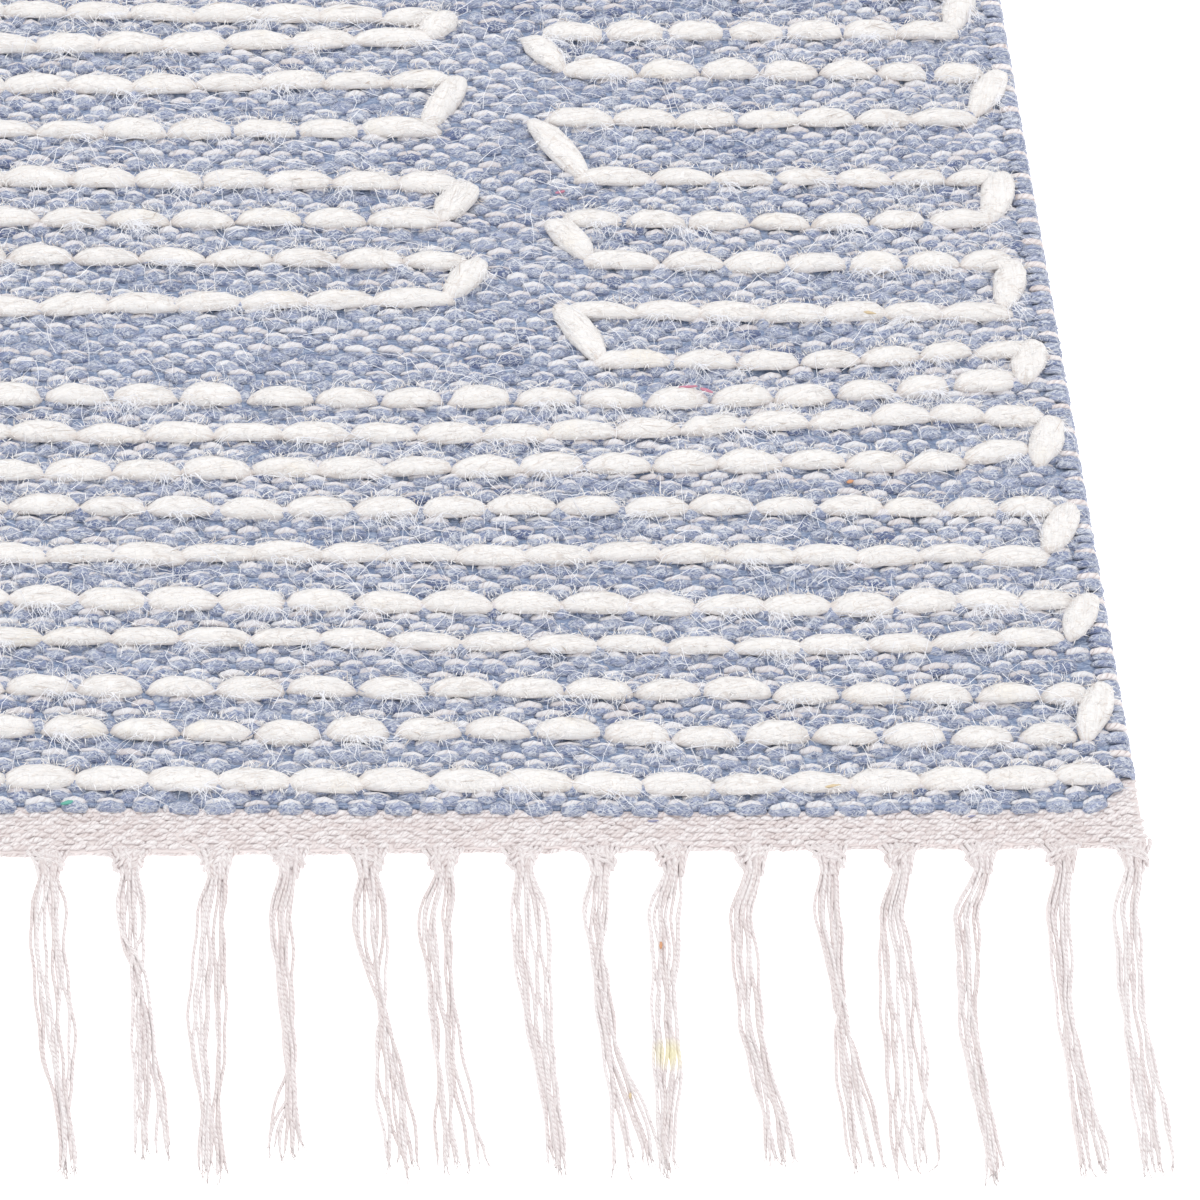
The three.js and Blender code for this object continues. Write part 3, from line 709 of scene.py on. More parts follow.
# Every row of every serpentine: its limits, where its stitch ends fall, its height, and its turns
def listRows():
    rows, turns = [], []
    reach = {"free": thickYarn["freeEnd"], "top": thickYarn["underTop"], "foot": thickYarn["atFoot"]}

    def addSerpentine(key, count, right, left, startsRight, height, parity, opens, closes):
        for row in range(count):
            fromRightSide = (row % 2 == 0) == startsRight
            start = "free" if row == 0 and opens else "top"
            end = "free" if row == count - 1 and closes else "foot"
            rightEnd, leftEnd = (start, end) if fromRightSide else (end, start)
            rows.append({"low": right + reach[rightEnd], "high": left - reach[leftEnd],
                         "height": lambda f, r=row: height(r, f), "offset": 2 * ((row + parity) % 2)})
            if end == "foot":
                tip, inward = (left, -1) if fromRightSide else (right, 1)
                up = height(row, tip)
                nextUp = height(row + 1, tip) if row + 1 < count else up + thickYarn["lastRise"]
                footIn, footUp = thickYarn["turnFoot"]
                topIn, topUp = thickYarn["turnTop"]
                plain = (tip + inward * footIn, up + footUp, tip + inward * topIn, nextUp + topUp)
                turns.append(measuredTurns.get((key, row), plain))

    margin = borderPlan["edgeMargin"]
    across = (margin, rug["width"] - margin)
    addSerpentine("border", len(borderRows), *across, True, borderHeight, 0, True, False)
    for index, block in enumerate(blocks):
        left = block["right"] + block["width"]
        addSerpentine(index, block["rows"], block["right"], left, block["startsAt"] == "right",
                      lambda r, f, i=index: blockHeight(i, r, f), index % 2, index > 0,
                      index < len(blocks) - 1)
    far = len(borderRows) - 1
    addSerpentine("far", len(borderRows), *across, False, lambda r, f: farBorderHeight(far - r, f),
                  1, False, True)
    return rows, turns


def makeThickYarn():
    rng = np.random.default_rng(thickYarn["seed"])
    rows, turns = listRows()
    stitches, bends = [], []
    for row in rows:
        middle = row["height"]((row["low"] + row["high"]) / 2)
        span = thickYarn["stitchUnits"]
        units = range(row["offset"] - 2 * span, lastUnit + span, span)
        ends = [warpPlace(unit, middle) for unit in units]
        shortest = thickYarn["shortest"]
        inside = [e for e in ends if row["low"] + shortest < e < row["high"] - shortest]
        ends = [row["low"], *inside, row["high"]]
        fat = rng.uniform(0.9, 1.08)
        overlap = rng.uniform(*thickYarn["overlap"])
        for low, high in zip(ends, ends[1:]):
            centre = (low + high) / 2 + rng.normal(0, 0.15)
            slope = math.atan2(row["height"](low) - row["height"](high), high - low)
            length = (high - low + overlap) / (2 * stitchSize["halfLength"])
            wide = fat * rng.uniform(0.9, 1.1)
            stitches.append([centre, row["height"](centre) + rng.normal(0, 0.2),
                             stitchSize["middle"] + rng.normal(0, 0.08),
                             slope + rng.normal(0, 0.03), length * rng.uniform(0.98, 1.05),
                             wide, 0.4 + 0.6 * wide, rng.uniform()])
    for footRight, footUp, topRight, topUp in turns:
        centre, middle = (footRight + topRight) / 2 - 0.5, (footUp + topUp) / 2
        length = math.hypot(footRight - topRight, footUp - topUp)
        slope = math.atan2(topUp - footUp, footRight - topRight)
        bends.append([centre, middle, turnSize["middle"], slope, length / (2 * turnSize["halfLength"]),
                      rng.uniform(0.92, 1.06), rng.uniform(0.96, 1.04), rng.uniform()])
    return stitches, bends


stitches, bends = makeThickYarn()
lumps = (thickYarn["lumpHeight"], thickYarn["lumpSize"])
for name, places, size in (("wool_stitches", stitches, stitchSize), ("wool_turns", bends, turnSize)):
    near, rest = splitAtCorner(places)
    fine = yarnShape(name + "Fine", grainLine(size, 12), 13, thickYarn["lobes"])
    plain = yarnShape(name + "Plain", grainLine(size | {"halfWidth": 1.25 * size["halfWidth"]}, 6), 4)
    scatter(name + "_corner", near, fine, creamWool, lumps, 1)
    scatter(name, rest, plain, creamWool, lumps, 2)
print("thick yarn laid:", len(stitches), "stitches,", len(bends), "turns")


# The ground weave

ground = {
    "picksBetween": [3, 5, 4, 5, 4, 5, 5, 5, 4, 4, 129],   # from the band, row by row, to the middle
    "selvedge": 5.0,       # floats keep this far from the side edges
    "hiddenAcross": 0.9,   # floats this near a row's centre are hidden under its stitches
    "hiddenBeyond": 0.5,   # and so much further beyond the corner
    "hiddenEnd": 3.0,      # but not this near a stitch's end
    "bandGap": 0.4,
    "slopeReach": 4.0,     # a float slopes as its pick does so far to either side
    "jitter": 0.25,
    "seed": 21,
    # Where the cotton strand lies on top of the wool: height, from and to, measured from the right
    "whiteRuns": [(33.5, 20, 246), (98.5, 50, 170), (134, 120, 190), (151.5, 60, 110), (58.5, 140, 246),
                  (139.5, 150, 246), (169.5, 118, 140), (85.5, 10, 60), (44.5, 30, 90)],
    "runHalf": 1.7,        # floats this far from a run's height are in it, and its ends fade
    "runFade": 8,
    "warpBits": 0.05,      # the share of gaps where a warp end shows between two floats
}
floatSize = {"halfLength": 3.3, "middle": 2.5, "dive": 1.4, "arch": 2.2, "halfWidth": 1.8,
             "halfHeight": 1.18, "blunt": 2.6}
plainFloatSize = {"halfLength": 4.0, "dive": 1.3, "arch": 2.0, "halfWidth": 2.5, "halfHeight": 1.2,
                  "blunt": 2.0}
cottonSize = {"halfLength": 3.0, "dive": 1.15, "arch": 2.0, "halfWidth": 0.74, "halfHeight": 0.48,
              "blunt": 2.4}


def nearPickHeights(fromRight):
    anchors = [bandTop(fromRight) - 0.3]
    anchors += [borderHeight(row, fromRight) for row in range(len(borderRows))]
    anchors.append(rug["length"] / 2)
    heights = []
    for low, high, count in zip(anchors, anchors[1:], ground["picksBetween"]):
        heights += [low + (high - low) * (k + 0.5) / count for k in range(count)]
    return heights


def pickTable():
    grid = np.arange(0, rug["width"] + 1, 5.0)
    near = np.array([nearPickHeights(f) for f in grid])
    far = rug["length"] - near[::-1, ::-1]
    return grid, np.concatenate([near, far], axis=1)


# The stitches by their height in cells of this many millimetres, so that near ones are found quickly
cellHeight = 8


def stitchIndex():
    index = {}
    for stitch in stitches:
        index.setdefault(int(stitch[1] // cellHeight), []).append(stitch)
    return index


def isUnderStitch(index, fromRight, up):
    across = ground["hiddenAcross"] + (0 if inCorner(fromRight, up) else ground["hiddenBeyond"])
    cell = int(up // cellHeight)
    near = [stitch for k in (cell - 1, cell, cell + 1) for stitch in index.get(k, [])]
    return any(abs(stitch[1] - up) < across
               and abs(stitch[0] - fromRight) < stitch[4] * stitchSize["halfLength"] - ground["hiddenEnd"]
               for stitch in near)


# How much the cotton lies on top at a float: in waves along its pick, and in the measured runs
def cottonOnTop(fromRight, up, wave, phase):
    white = max(0.0, 0.5 * math.sin(fromRight / 31 + phase) + 0.2 * wave - 0.3)
    fade = ground["runFade"]
    for height, low, high in ground["whiteRuns"]:
        if abs(up - height) < ground["runHalf"]:
            begun = smooth(fromRight, low - fade, low + fade)
            white += 0.85 * begun * (1 - smooth(fromRight, high - fade, high + fade))
    return white


# Every float of the ground that shows. wave and patch make the cotton beside it come and go, and lean
# says how far that has turned from the float's edge to its top.
def makeGround():
    rng = np.random.default_rng(ground["seed"])
    grid, heights = pickTable()
    index = stitchIndex()
    floats = []
    for pick in range(heights.shape[1]):
        column = heights[:, pick]
        middle = float(column.mean())
        cottonPhase = rng.uniform(0, 2 * math.pi, 3)
        shadeBase = rng.normal(0.5, 0.12)
        for unit in range(-6 + pick % 2, lastUnit + 4, 2):
            fromRight = warpPlace(unit, middle) + rng.normal(0, ground["jitter"])
            draws = rng.uniform(0, 1, 6)
            if not ground["selvedge"] < fromRight < rug["width"] - ground["selvedge"]:
                continue
            up = float(np.interp(fromRight, grid, column)) + (draws[0] - 0.5) * 0.7
            farTop = rug["length"] - bandTop(rug["width"] - fromRight)
            if not bandTop(fromRight) + ground["bandGap"] < up < farTop - ground["bandGap"]:
                continue
            if isUnderStitch(index, fromRight, up):
                continue
            reach = ground["slopeReach"]
            right, left = np.interp([fromRight - reach, fromRight + reach], grid, column)
            slope = (right - left) / (2 * reach)
            wave = math.sin(fromRight / 19 + cottonPhase[0])
            wave += 0.7 * math.sin(fromRight / 7.7 + cottonPhase[1])
            patch = math.sin(fromRight / 11 + up / 6) * math.sin(fromRight / 17 - up / 8)
            white = cottonOnTop(fromRight, up, wave, cottonPhase[2])
            floats.append({
                "place": [fromRight, up, floatSize["middle"] + 0.5 * (draws[1] - 0.5),
                          math.atan(slope) + (draws[2] - 0.5) * 0.3,
                          0.88 + 0.26 * draws[3], 0.86 + 0.3 * draws[4], 0.9 + 0.2 * draws[5],
                          min(1, max(0, shadeBase + rng.normal(0, 0.24)))],
                "lean": 0.72 + 0.2 * wave + rng.normal(0, 0.18),
                "cottonSize": 1.08 + 0.3 * wave + 0.4 * patch + rng.normal(0, 0.42),
                "white": min(1.0, max(0.0, white + rng.normal(0, 0.16))),
                "warp": draws[0] < ground["warpBits"],
                "corner": inCorner(fromRight, up),
            })
    return floats


floats = makeGround()
fineFloat = yarnShape("floatFine", grainLine(floatSize, 5), 8)
plainFloat = yarnShape("floatPlain", grainLine(plainFloatSize, 3), 4)
cottonFloat = yarnShape("cottonFloat", grainLine(cottonSize, 5), 4)
corner = [f for f in floats if f["corner"]]
crescent = {"thinnest": 0.6, "thickest": 1.6, "aside": 0.2, "out": 1.5, "rise": 1.02}
scatter("weft_corner", [f["place"] for f in corner], fineFloat, blueWool, (0.8, 1.2), 3)
crescents, warpBits = [], []
for f in corner:
    white = f["white"]
    lean = f["lean"] + 0.4 * white
    fromRight, up, lift, turn, along, across, high, shade = f["place"]
    thick = min(crescent["thickest"], f["cottonSize"] + 0.7 * white)
    if thick > crescent["thinnest"]:
        crescents.append([fromRight + crescent["aside"], up + crescent["out"] * math.cos(lean),
                          lift + crescent["rise"] * math.sin(lean), turn, along * (1 + 0.1 * white),
                          thick, 0.5 + 0.4 * thick, shade])
    if f["warp"]:
        warpBits.append([fromRight + rug["warpPitch"], up + 0.3, lift - 0.2, math.pi / 2 + 2 * turn,
                         0.36, 0.9, 0.9, shade])
scatter("cotton_corner", crescents + warpBits, cottonFloat, warpCotton, (0.5, 1.3), 4)
rest = [f["place"] for f in floats if not f["corner"]]
half = rug["length"] / 2
scatter("weft_near", [p for p in rest if p[1] < half], plainFloat, blueWoolPlain, (0.3, 2.5), 5)
scatter("weft_far", [p for p in rest if p[1] >= half], plainFloat, blueWoolPlain, (0.3, 2.5), 6)
print("ground woven:", len(floats), "floats")


# The cloth under the floats: one closed slab on the outline of the solid, a little smaller

cloth = {"inset": 0.9, "top": 2.3, "bottom": 0.05, "sideStart": 40, "sideStep": 24,
         "sideWaviness": 0.35, "bandGap": 1.1}


def flatSlab(name, outline, bottom, top):
    count = len(outline)
    verts = [(x * mm, y * mm, z * mm) for z in (bottom, top) for x, y in outline]
    faces = [tuple(range(count - 1, -1, -1)), tuple(range(count, 2 * count))]
    faces += [(i, (i + 1) % count, count + (i + 1) % count, count + i) for i in range(count)]
    mesh = bpy.data.meshes.new(name)
    mesh.from_pydata(verts, [], faces)
    return newPiece(name, mesh)


def clothOutline():
    half = []
    for fromRight, up in zip(reversed(bandEdge["fromRight"]), reversed(bandEdge["up"])):
        inside = min(max(fromRight, cloth["inset"]), rug["width"] - cloth["inset"])
        half.append((xOf(inside), yOf(up + cloth["bandGap"])))
    up = cloth["sideStart"]
    while up < rug["length"] - cloth["sideStart"]:
        half.append((xOf(cloth["inset"] + cloth["sideWaviness"] * wander(0, 3 * up)), yOf(up)))
        up += cloth["sideStep"]
    return half + [(-x, -y) for x, y in half]


groundCloth = flatSlab("ground_cloth", clothOutline(), cloth["bottom"], cloth["top"])
groundCloth.data.materials.append(clothDeep)
groundCloth.data.materials.append(clothBack)
groundCloth.data.polygons[0].material_index = 1
print("cloth laid")


# The selvedge: ground picks turn round the outermost warp, three blue turns to one of cotton

selvedge = {"pitch": 1.72, "group": 4, "start": 17.2, "seed": 8, "swell": 1.098}
# A loop's stations, from its upper end inside the cloth to its lower one: in from the edge, height,
# half width and half height
loopLine = [
    (5.6, 1.9, 0, 0), (4.4, 2.75, 0.8, 0.5), (2.6, 3.1, 1.0, 0.55), (0.9, 2.8, 1.0, 0.55),
    (0.15, 1.75, 1.0, 0.5), (0.9, 0.75, 0.9, 0.45), (2.6, 0.55, 0.7, 0.35), (4.4, 0.7, 0, 0),
]


def makeSelvedge():
    rng = np.random.default_rng(selvedge["seed"])
    blue, white = [], []
    for side in (0, 1):
        up = selvedge["start"]
        order = 0
        while up < rug["length"] - selvedge["start"]:
            inGroup = order % selvedge["group"]
            swell = selvedge["swell"] if inGroup in (1, 2) else 1
            place = [0 if side == 0 else rug["width"], up, 0, math.pi * side + rng.normal(0, 0.09),
                     swell * rng.uniform(0.9, 1.08), rng.uniform(1.1, 1.35),
                     swell * rng.uniform(0.95, 1.04), rng.uniform()]
            (white if inGroup == 3 else blue).append(place)
            up += selvedge["pitch"] * rng.uniform(0.92, 1.08)
            order += 1
    return blue, white


# The loop's own x runs inwards from the right edge
fineLoop = yarnShape("loopFine", [(-x, z, w, h) for x, z, w, h in loopLine], 4)
plainLoop = yarnShape("loopPlain", [(-x, z, w, h) for x, z, w, h in loopLine], 3)
for name, loops, finish in zip(("wool", "cotton"), makeSelvedge(), (blueWool, cotton)):
    near, rest = splitAtCorner(loops)
    scatter("selvedge_" + name + "_corner", near, fineLoop, finish, (0.6, 1.6), 7)
    scatter("selvedge_" + name, rest, plainLoop, finish, (0.3, 3), 8)
print("selvedges made")


# The cotton end bands: fine cotton floats in brick order on a thin slab

band = {"top": 1.6, "seed": 31, "hemWaviness": 0.3, "firstUp": -0.1, "lastUp": 17, "inset": 0.8,
        "underCloth": 0.9, "hemDrop": 0.75}
fineBand = {"pickPitch": 1.02, "warpPitch": 1.42, "size": 0.82}
plainBand = {"pickPitch": 1.2, "warpPitch": 1.8, "size": 1.0}
bandFloatSize = {"halfLength": 1.95, "middle": 1.8, "dive": 0.5, "arch": 2.0, "halfWidth": 0.85,
                 "halfHeight": 0.5, "blunt": 2.6}


def bandOutline():
    hem = [(xOf(f), yOf(band["hemWaviness"] * math.sin(f))) for f in (0, 90, 200, 330, 470, 610)]
    inner = [(xOf(f), yOf(u + band["underCloth"])) for f, u in zip(bandEdge["fromRight"], bandEdge["up"])]
    return inner + hem[::-1]


def makeBandFloats(weave):
    rng = np.random.default_rng(band["seed"])
    places = []
    pick = 0
    up = band["firstUp"]
    while up < band["lastUp"]:
        for unit in range(pick % 2, int(rug["width"] / weave["warpPitch"]), 2):
            fromRight = 1.2 + unit * weave["warpPitch"] + rng.normal(0, 0.28)
            draws = rng.uniform(0, 1, 6)
            inside = band["inset"] < fromRight < rug["width"] - band["inset"]
            if up < bandTop(fromRight) + 0.5 and inside:
                lift = bandFloatSize["middle"] + 0.3 * (draws[1] - 0.5)
                lift -= band["hemDrop"] if pick == 0 else 0
                size = weave["size"]
                places.append([fromRight, up + (draws[0] - 0.5) * 0.4, lift, (draws[2] - 0.5) * 0.5,
                               size * (0.8 + 0.5 * draws[3]), size * (0.85 + 0.3 * draws[5]), size, draws[4]])
        up += weave["pickPitch"] * (1 + 0.06 * math.sin(pick * 2.1))
        pick += 1
    return places


def turnHalfRound(places):
    return [[rug["width"] - fromRight, rug["length"] - up, lift, turn + math.pi, *rest]
            for fromRight, up, lift, turn, *rest in places]


bandFloat = yarnShape("bandFloat", grainLine(bandFloatSize, 5), 5)
plainBandFloat = yarnShape("bandFloatPlain", grainLine(bandFloatSize, 4), 4)
scatter("band_weave_corner", splitAtCorner(makeBandFloats(fineBand))[0], bandFloat, cotton, (0.5, 1.1), 9)
bandPlaces = makeBandFloats(plainBand)
otherPlaces = splitAtCorner(bandPlaces)[1]
for name, places, sign in (("near", otherPlaces, 1), ("far", turnHalfRound(bandPlaces), -1)):
    outline = [(x * sign, y * sign) for x, y in bandOutline()]
    slab = flatSlab("band_" + name, outline, 0, band["top"])
    slab.data.materials.append(cotton)
    slab.data.materials.append(bandBack)
    slab.data.polygons[0].material_index = 1
    scatter("band_weave_" + name, places, plainBandFloat, cotton, (0.5, 1.1), 9)
print("bands woven")


# The tassels. sway is how far the bundle stands from its knot towards +X, wide is its width, each
# in the upper part, at the middle and at the tip; a waist is where its strands cross.
tasselColumns = ("knot", "swayA", "swayB", "swayTip", "wideA", "wideB", "wideTip", "reach", "waistAt",
                 "waist")
nearTassels = [
    (3.1, -3.9, -5.3, -5.4, 5.2, 6.0, 6.5, 78, 0, 0),
    (18.0, -3.0, -4.2, -3.1, 4.3, 3.5, 5.9, 77.5, 39, 3.2),
    (35.0, -5.7, -7.8, -6.8, 5.4, 4.6, 3.8, 79, 65, 3.2),
    (52.1, -3.6, -4.2, -5.2, 5.0, 7.6, 9.9, 76.5, 0, 0),
    (67.2, -1.6, -1.5, -0.2, 5.2, 2.8, 7.5, 76, 37, 2.3),
    (83.0, -3.6, -4.2, -1.2, 4.2, 4.6, 5.8, 74, 52, 3.4),
    (99.5, -3.5, -4.9, -7.3, 6.8, 5.2, 3.4, 76, 0, 0),
    (114.8, -2.2, -1.5, 1.6, 5.0, 3.2, 9.5, 75.5, 32, 2.0),
    (130.5, 0.4, 0.6, 1.9, 7.3, 6.0, 3.3, 75.5, 65, 3.6),
    (146.8, -2.5, -2.5, -1.2, 7.0, 5.6, 9.5, 74.5, 30, 5.2),
    (162.4, -0.2, 1.0, 2.5, 7.2, 2.6, 7.9, 75, 37, 2.1),
    (178.7, -2.1, -1.9, -3.2, 4.5, 2.4, 7.2, 71, 52, 2.1),
    (193.0, -2.3, -3.9, -3.4, 6.4, 7.5, 5.8, 75, 65, 4.4),
    (210.9, 0, 1.5, 2.3, 5.8, 3.6, 7.6, 71, 32, 2.5),
    (227.3, -0.2, 1.0, 2.2, 7.6, 6.5, 4.0, 74.6, 65, 2.9),
]
# The tassels that the photograph doesn't show vary in waves: mean, swing, pace and start of each
plainWaves = {
    "swayA": (-1.2, 1.8, 1, 0), "swayB": (-1.4, 2.6, 1, 0.7), "swayTip": (-0.8, 3.2, 1, 1.3),
    "wideA": (5.8, 1.3, 2.1, 0), "wideB": (4.9, 1.9, 2.7, 1), "wideTip": (6.4, 1.8, 1.9, 2),
    "reach": (76.4, 2, 3.1, 0), "waistAt": (30, 12, 1.3, 0), "waist": (3.2, 0, 0, 0),
}
tassel = {
    "count": 38, "cornerKnot": 3.2, "strands": 10, "plainStrands": 7, "strandRadius": 0.41,
    "plainRadius": 0.45, "steps": 26, "plainSteps": 8, "knotAt": 2.1, "seed": 77, "fray": 3.5,
    "frayHairs": 2,
    "start": 3.4,             # how far below the hem the strands start, inside the knot
    "gathered": (4, 3.2),     # where they leave it, and how wide they are there
    "swayAt": (0.24, 0.58),   # the heights of swayA and swayB, wideA and wideB as shares of the reach
    "wideAt": (0.18, 0.58),
    "waistClear": 8,          # no width but the waist's own counts this near to it
    "crossesBelow": 2.6,      # the strands cross in a waist that is narrower
}
knotSize = {"halfLength": 3.0, "middle": 1.7, "dive": 0.6, "arch": 2.0, "halfWidth": 2.8,
            "halfHeight": 1.4, "blunt": 2.6}


def plainTassel(order, phase):
    last = nearTassels[-1][0]
    pitch = (rug["width"] - tassel["cornerKnot"] - last) / (tassel["count"] - len(nearTassels))
    turn = order * 2.4 + phase
    found = {name: mean + swing * math.sin(turn * pace + shift)
             for name, (mean, swing, pace, shift) in plainWaves.items()}
    found["knot"] = last + pitch * (order - len(nearTassels) + 1) + 0.8 * math.sin(turn * 1.7)
    return found


def tasselsOf(measured, phase):
    found = []
    for order in range(tassel["count"]):
        near = dict(zip(tasselColumns, nearTassels[order])) if order < len(nearTassels) else None
        if near and measured:
            found.append(near)
            continue
        plain = plainTassel(order, phase)
        if order == tassel["count"] - 1:
            for name in ("swayA", "swayB", "swayTip"):
                plain[name] *= 0.25
        plain["knot"] = near["knot"] if near else plainTassel(order, 0)["knot"]
        found.append(plain)
    return found


# A strand's line from its knot to its tip. lanes are its places across the bundle, from -1 to 1, at
# the knot, at two heights and at the tip. layer says how high it lies where strands are crowded.
def strandLine(size, lanes, layer, reach, radius, steps, wobble, crosses):
    whole, (knotEnd, knotWidth) = size["reach"], tassel["gathered"]
    swayPlaces = [knotEnd, *(share * whole for share in tassel["swayAt"]), whole]
    sways = [0, size["swayA"], size["swayB"], size["swayTip"]]
    upper, middle = (share * whole for share in tassel["wideAt"])
    widePlaces = {knotEnd: knotWidth, upper: size["wideA"], middle: size["wideB"], whole: size["wideTip"]}
    if size["waist"]:
        widePlaces = {k: v for k, v in widePlaces.items() if abs(k - size["waistAt"]) > tassel["waistClear"]}
        widePlaces[size["waistAt"]] = size["waist"]
    places = sorted(widePlaces)
    widths = [widePlaces[k] for k in places]
    line = []
    for i in range(steps + 1):
        down = tassel["start"] + (reach - tassel["start"]) * i / steps
        centre = smoothInterp(down, swayPlaces, sways)
        wide = smoothInterp(down, places, widths)
        side = smoothInterp(down, (knotEnd, 0.3 * reach, 0.7 * reach, reach), lanes)
        if crosses:
            turned = size["waistAt"] + 2.6 * (wobble[2] - math.pi)
            side *= 1 - 2 * smooth(down, turned - 6, turned + 6)
        across = max(wide + 0.5 - 2 * radius, 2.2) / 2 * side
        slow, quick = math.sin(down / wobble[0] + wobble[1]), math.sin(down / 2.3 + wobble[2])
        across += smooth(down, 6, 22) * (0.5 * slow + 0.2 * quick)
        crowded = 1 - smooth(wide, 3, 9)
        z = radius + 0.3 * layer * (0.25 + 0.75 * crowded) + 0.9 * (1 - smooth(down, 3, 12))
        z += 0.15 * math.sin(down / 2.3 + wobble[1])
        x = xOf(size["knot"]) + centre + across
        line.append((x, yOf(-down), max(z, radius), radius * (1 if i < steps else 0.6)))
    return line


def smoothInterp(place, places, values):
    for low, high, a, b in zip(places, places[1:], values, values[1:]):
        if place <= high:
            return a + (b - a) * smooth(place, low, high)
    return values[-1]


def turnLine(line):
    return [(-x, -y, z, r) for x, y, z, r in line]


# The knot: warp ends leave the hem side by side, cross as they run together over its core, and two
# more wrap them slantwise
def knotCords(size, rng, fans, radius):
    x, y = xOf(size["knot"]), yOf(0)
    cords = []
    lean = rng.choice([-1, 1])
    for i in range(fans):
        side = 2 * i / (fans - 1) - 1
        low = 1 - side * side
        swap = min(1, max(-1, side + rng.normal(0, 0.35)))
        rise = 0.25 * (i % 2) + rng.uniform(-0.1, 0.1)
        cords.append([(x + 4.4 * side, y + 1.6, 0.8, radius),
                      (x + 4.1 * side, y + 0.1, 1.3 + 0.3 * low + rise, radius),
                      (x + 3.3 * side + 0.2 * lean, y - 1.4, 1.8 + 0.9 * low + rise, radius),
                      (x + 2.4 * swap, y - 3.3, 1.9 + 0.8 * low + rise, radius),
                      (x + 2.0 * swap, y - 5.0, 1.5 + 0.6 * low, radius),
                      (x + 1.7 * swap, y - 7.0, 1.0 + 0.3 * low, 0.7 * radius)])
    for i in range(2):
        top = y - 0.6 - 1.3 * i + rng.normal(0, 0.2)
        drop = rng.uniform(2.0, 3.4)
        reach = 3.3 - 0.5 * i + rng.normal(0, 0.15)
        cord = []
        for k in range(7):
            angle = math.pi * k / 6
            height = 1.0 + 1.95 * math.sin(angle) ** 0.7
            cord.append((x - lean * reach * math.cos(angle) + rng.normal(0, 0.12),
                         top - drop * k / 6 + rng.normal(0, 0.12), height, radius))
        cords.append(cord)
    if rng.uniform() < 0.5:
        cords.append([(x + lean * (2.2 + 1.1 * math.sin(0.8 * k)), y - 2 - 0.8 * k, 1.1 + math.sin(0.7 * k),
                       radius) for k in range(5)])
    return cords


# A thin hair that goes on from a strand's tip and sinks to the floor
def frayHair(rng, line):
    (x, y, z, _), before = line[-1], line[-3]
    heading = math.atan2(y - before[1], x - before[0])
    angle = heading + rng.normal(0, 0.22)
    far = tassel["fray"] * rng.uniform(0.5, 1.1)
    bend = rng.normal(0, 0.25)
    hair = [(x - 1.2 * math.cos(heading), y - 1.2 * math.sin(heading), z, 0.2)]
    for k in (1, 2, 3):
        a = angle + bend * k / 3
        hair.append((x + far * k / 3 * math.cos(a), y + far * k / 3 * math.sin(a),
                     max(0.15, z * (1 - k / 3)) + 0.05, 0.16 - 0.03 * k))
    return hair


def makeTassels(measured, phase, sign):
    rng = np.random.default_rng(tassel["seed"] + phase)
    strands, cords, wisps, knots = [], [], [], []
    for order, size in enumerate(tasselsOf(measured, phase)):
        fine = measured and order < len(nearTassels)
        count = tassel["strands"] if fine else tassel["plainStrands"]
        radius = tassel["strandRadius"] if fine else tassel["plainRadius"]
        steps = tassel["steps"] if fine else tassel["plainSteps"]
        crosses = 0 < size["waist"] < tassel["crossesBelow"]
        for lane in np.linspace(-1, 1, count):
            lanes = np.clip(lane + rng.normal(0, (0.08, 0.24, 0.28, 0.2)), -1, 1)
            reach = size["reach"] + rng.normal(0, 1.1)
            layer = rng.integers(0, 3)
            wobble = (rng.uniform(6, 12), rng.uniform(0, 6.28), rng.uniform(0, 6.28))
            line = strandLine(size, lanes, int(layer), reach, radius, steps, wobble, crosses)
            strands.append(line)
            wisps += [frayHair(rng, line) for hair in range(tassel["frayHairs"] if fine else 1)]
        cords += knotCords(size, rng, 8 if fine else 5, 0.5 if fine else 0.8)
        knots.append([size["knot"] - 0.2, -tassel["knotAt"], knotSize["middle"], rng.normal(0, 0.15),
                      1.0, 1.0, 1.0, rng.uniform()])
    if sign < 0:
        strands, cords, wisps = ([turnLine(line) for line in lines] for lines in (strands, cords, wisps))
        knots = turnHalfRound(knots)
    return strands, cords, wisps, knots


knotShape = yarnShape("knotCore", grainLine(knotSize, 7), 8)
for name, measured, phase, sign in (("near", True, 0, 1), ("far", False, 2, -1)):
    strands, cords, wisps, knots = makeTassels(measured, phase, sign)
    sweep("tassel_strands_" + name, strands, cotton, 5 if sign > 0 else 3, 2.6, 3)
    sweep("tassel_cords_" + name, cords, cotton, 5 if sign > 0 else 4, 3.0, 4)
    sweep("tassel_ends_" + name, wisps, cotton, 3, 0.8, 5)
    scatter("tassel_knots_" + name, knots, knotShape, cotton, (0.9, 3), 10)
print("tassels tied")


# Loose wool hairs. Long stray ones lie over the whole cloth and tufts hang over the stitches' lower
# edges, all curved. Short ones, straight but for one kink, stand round the cream yarn as a halo, lie
# on it, and make a down on the blue. The finest are drawn thicker than real ones.
strayHairs = {"corner": 1300, "rest": 250, "length": (5, 14), "radius": 0.1, "height": 3.4, "seed": 90}
tufts = {"count": 260, "hairs": (5, 18), "length": (2.5, 8.0), "radius": 0.095, "seed": 91}
halo = {"count": 12800, "length": (1.0, 3.0), "radius": 0.13, "seed": 94}
surfaceHairs = {"count": 3000, "length": (2.5, 6.5), "radius": 0.1, "seed": 95}
blueDown = {"count": 5200, "length": (1.2, 3.8), "radius": 0.11, "height": 3.35, "seed": 92}


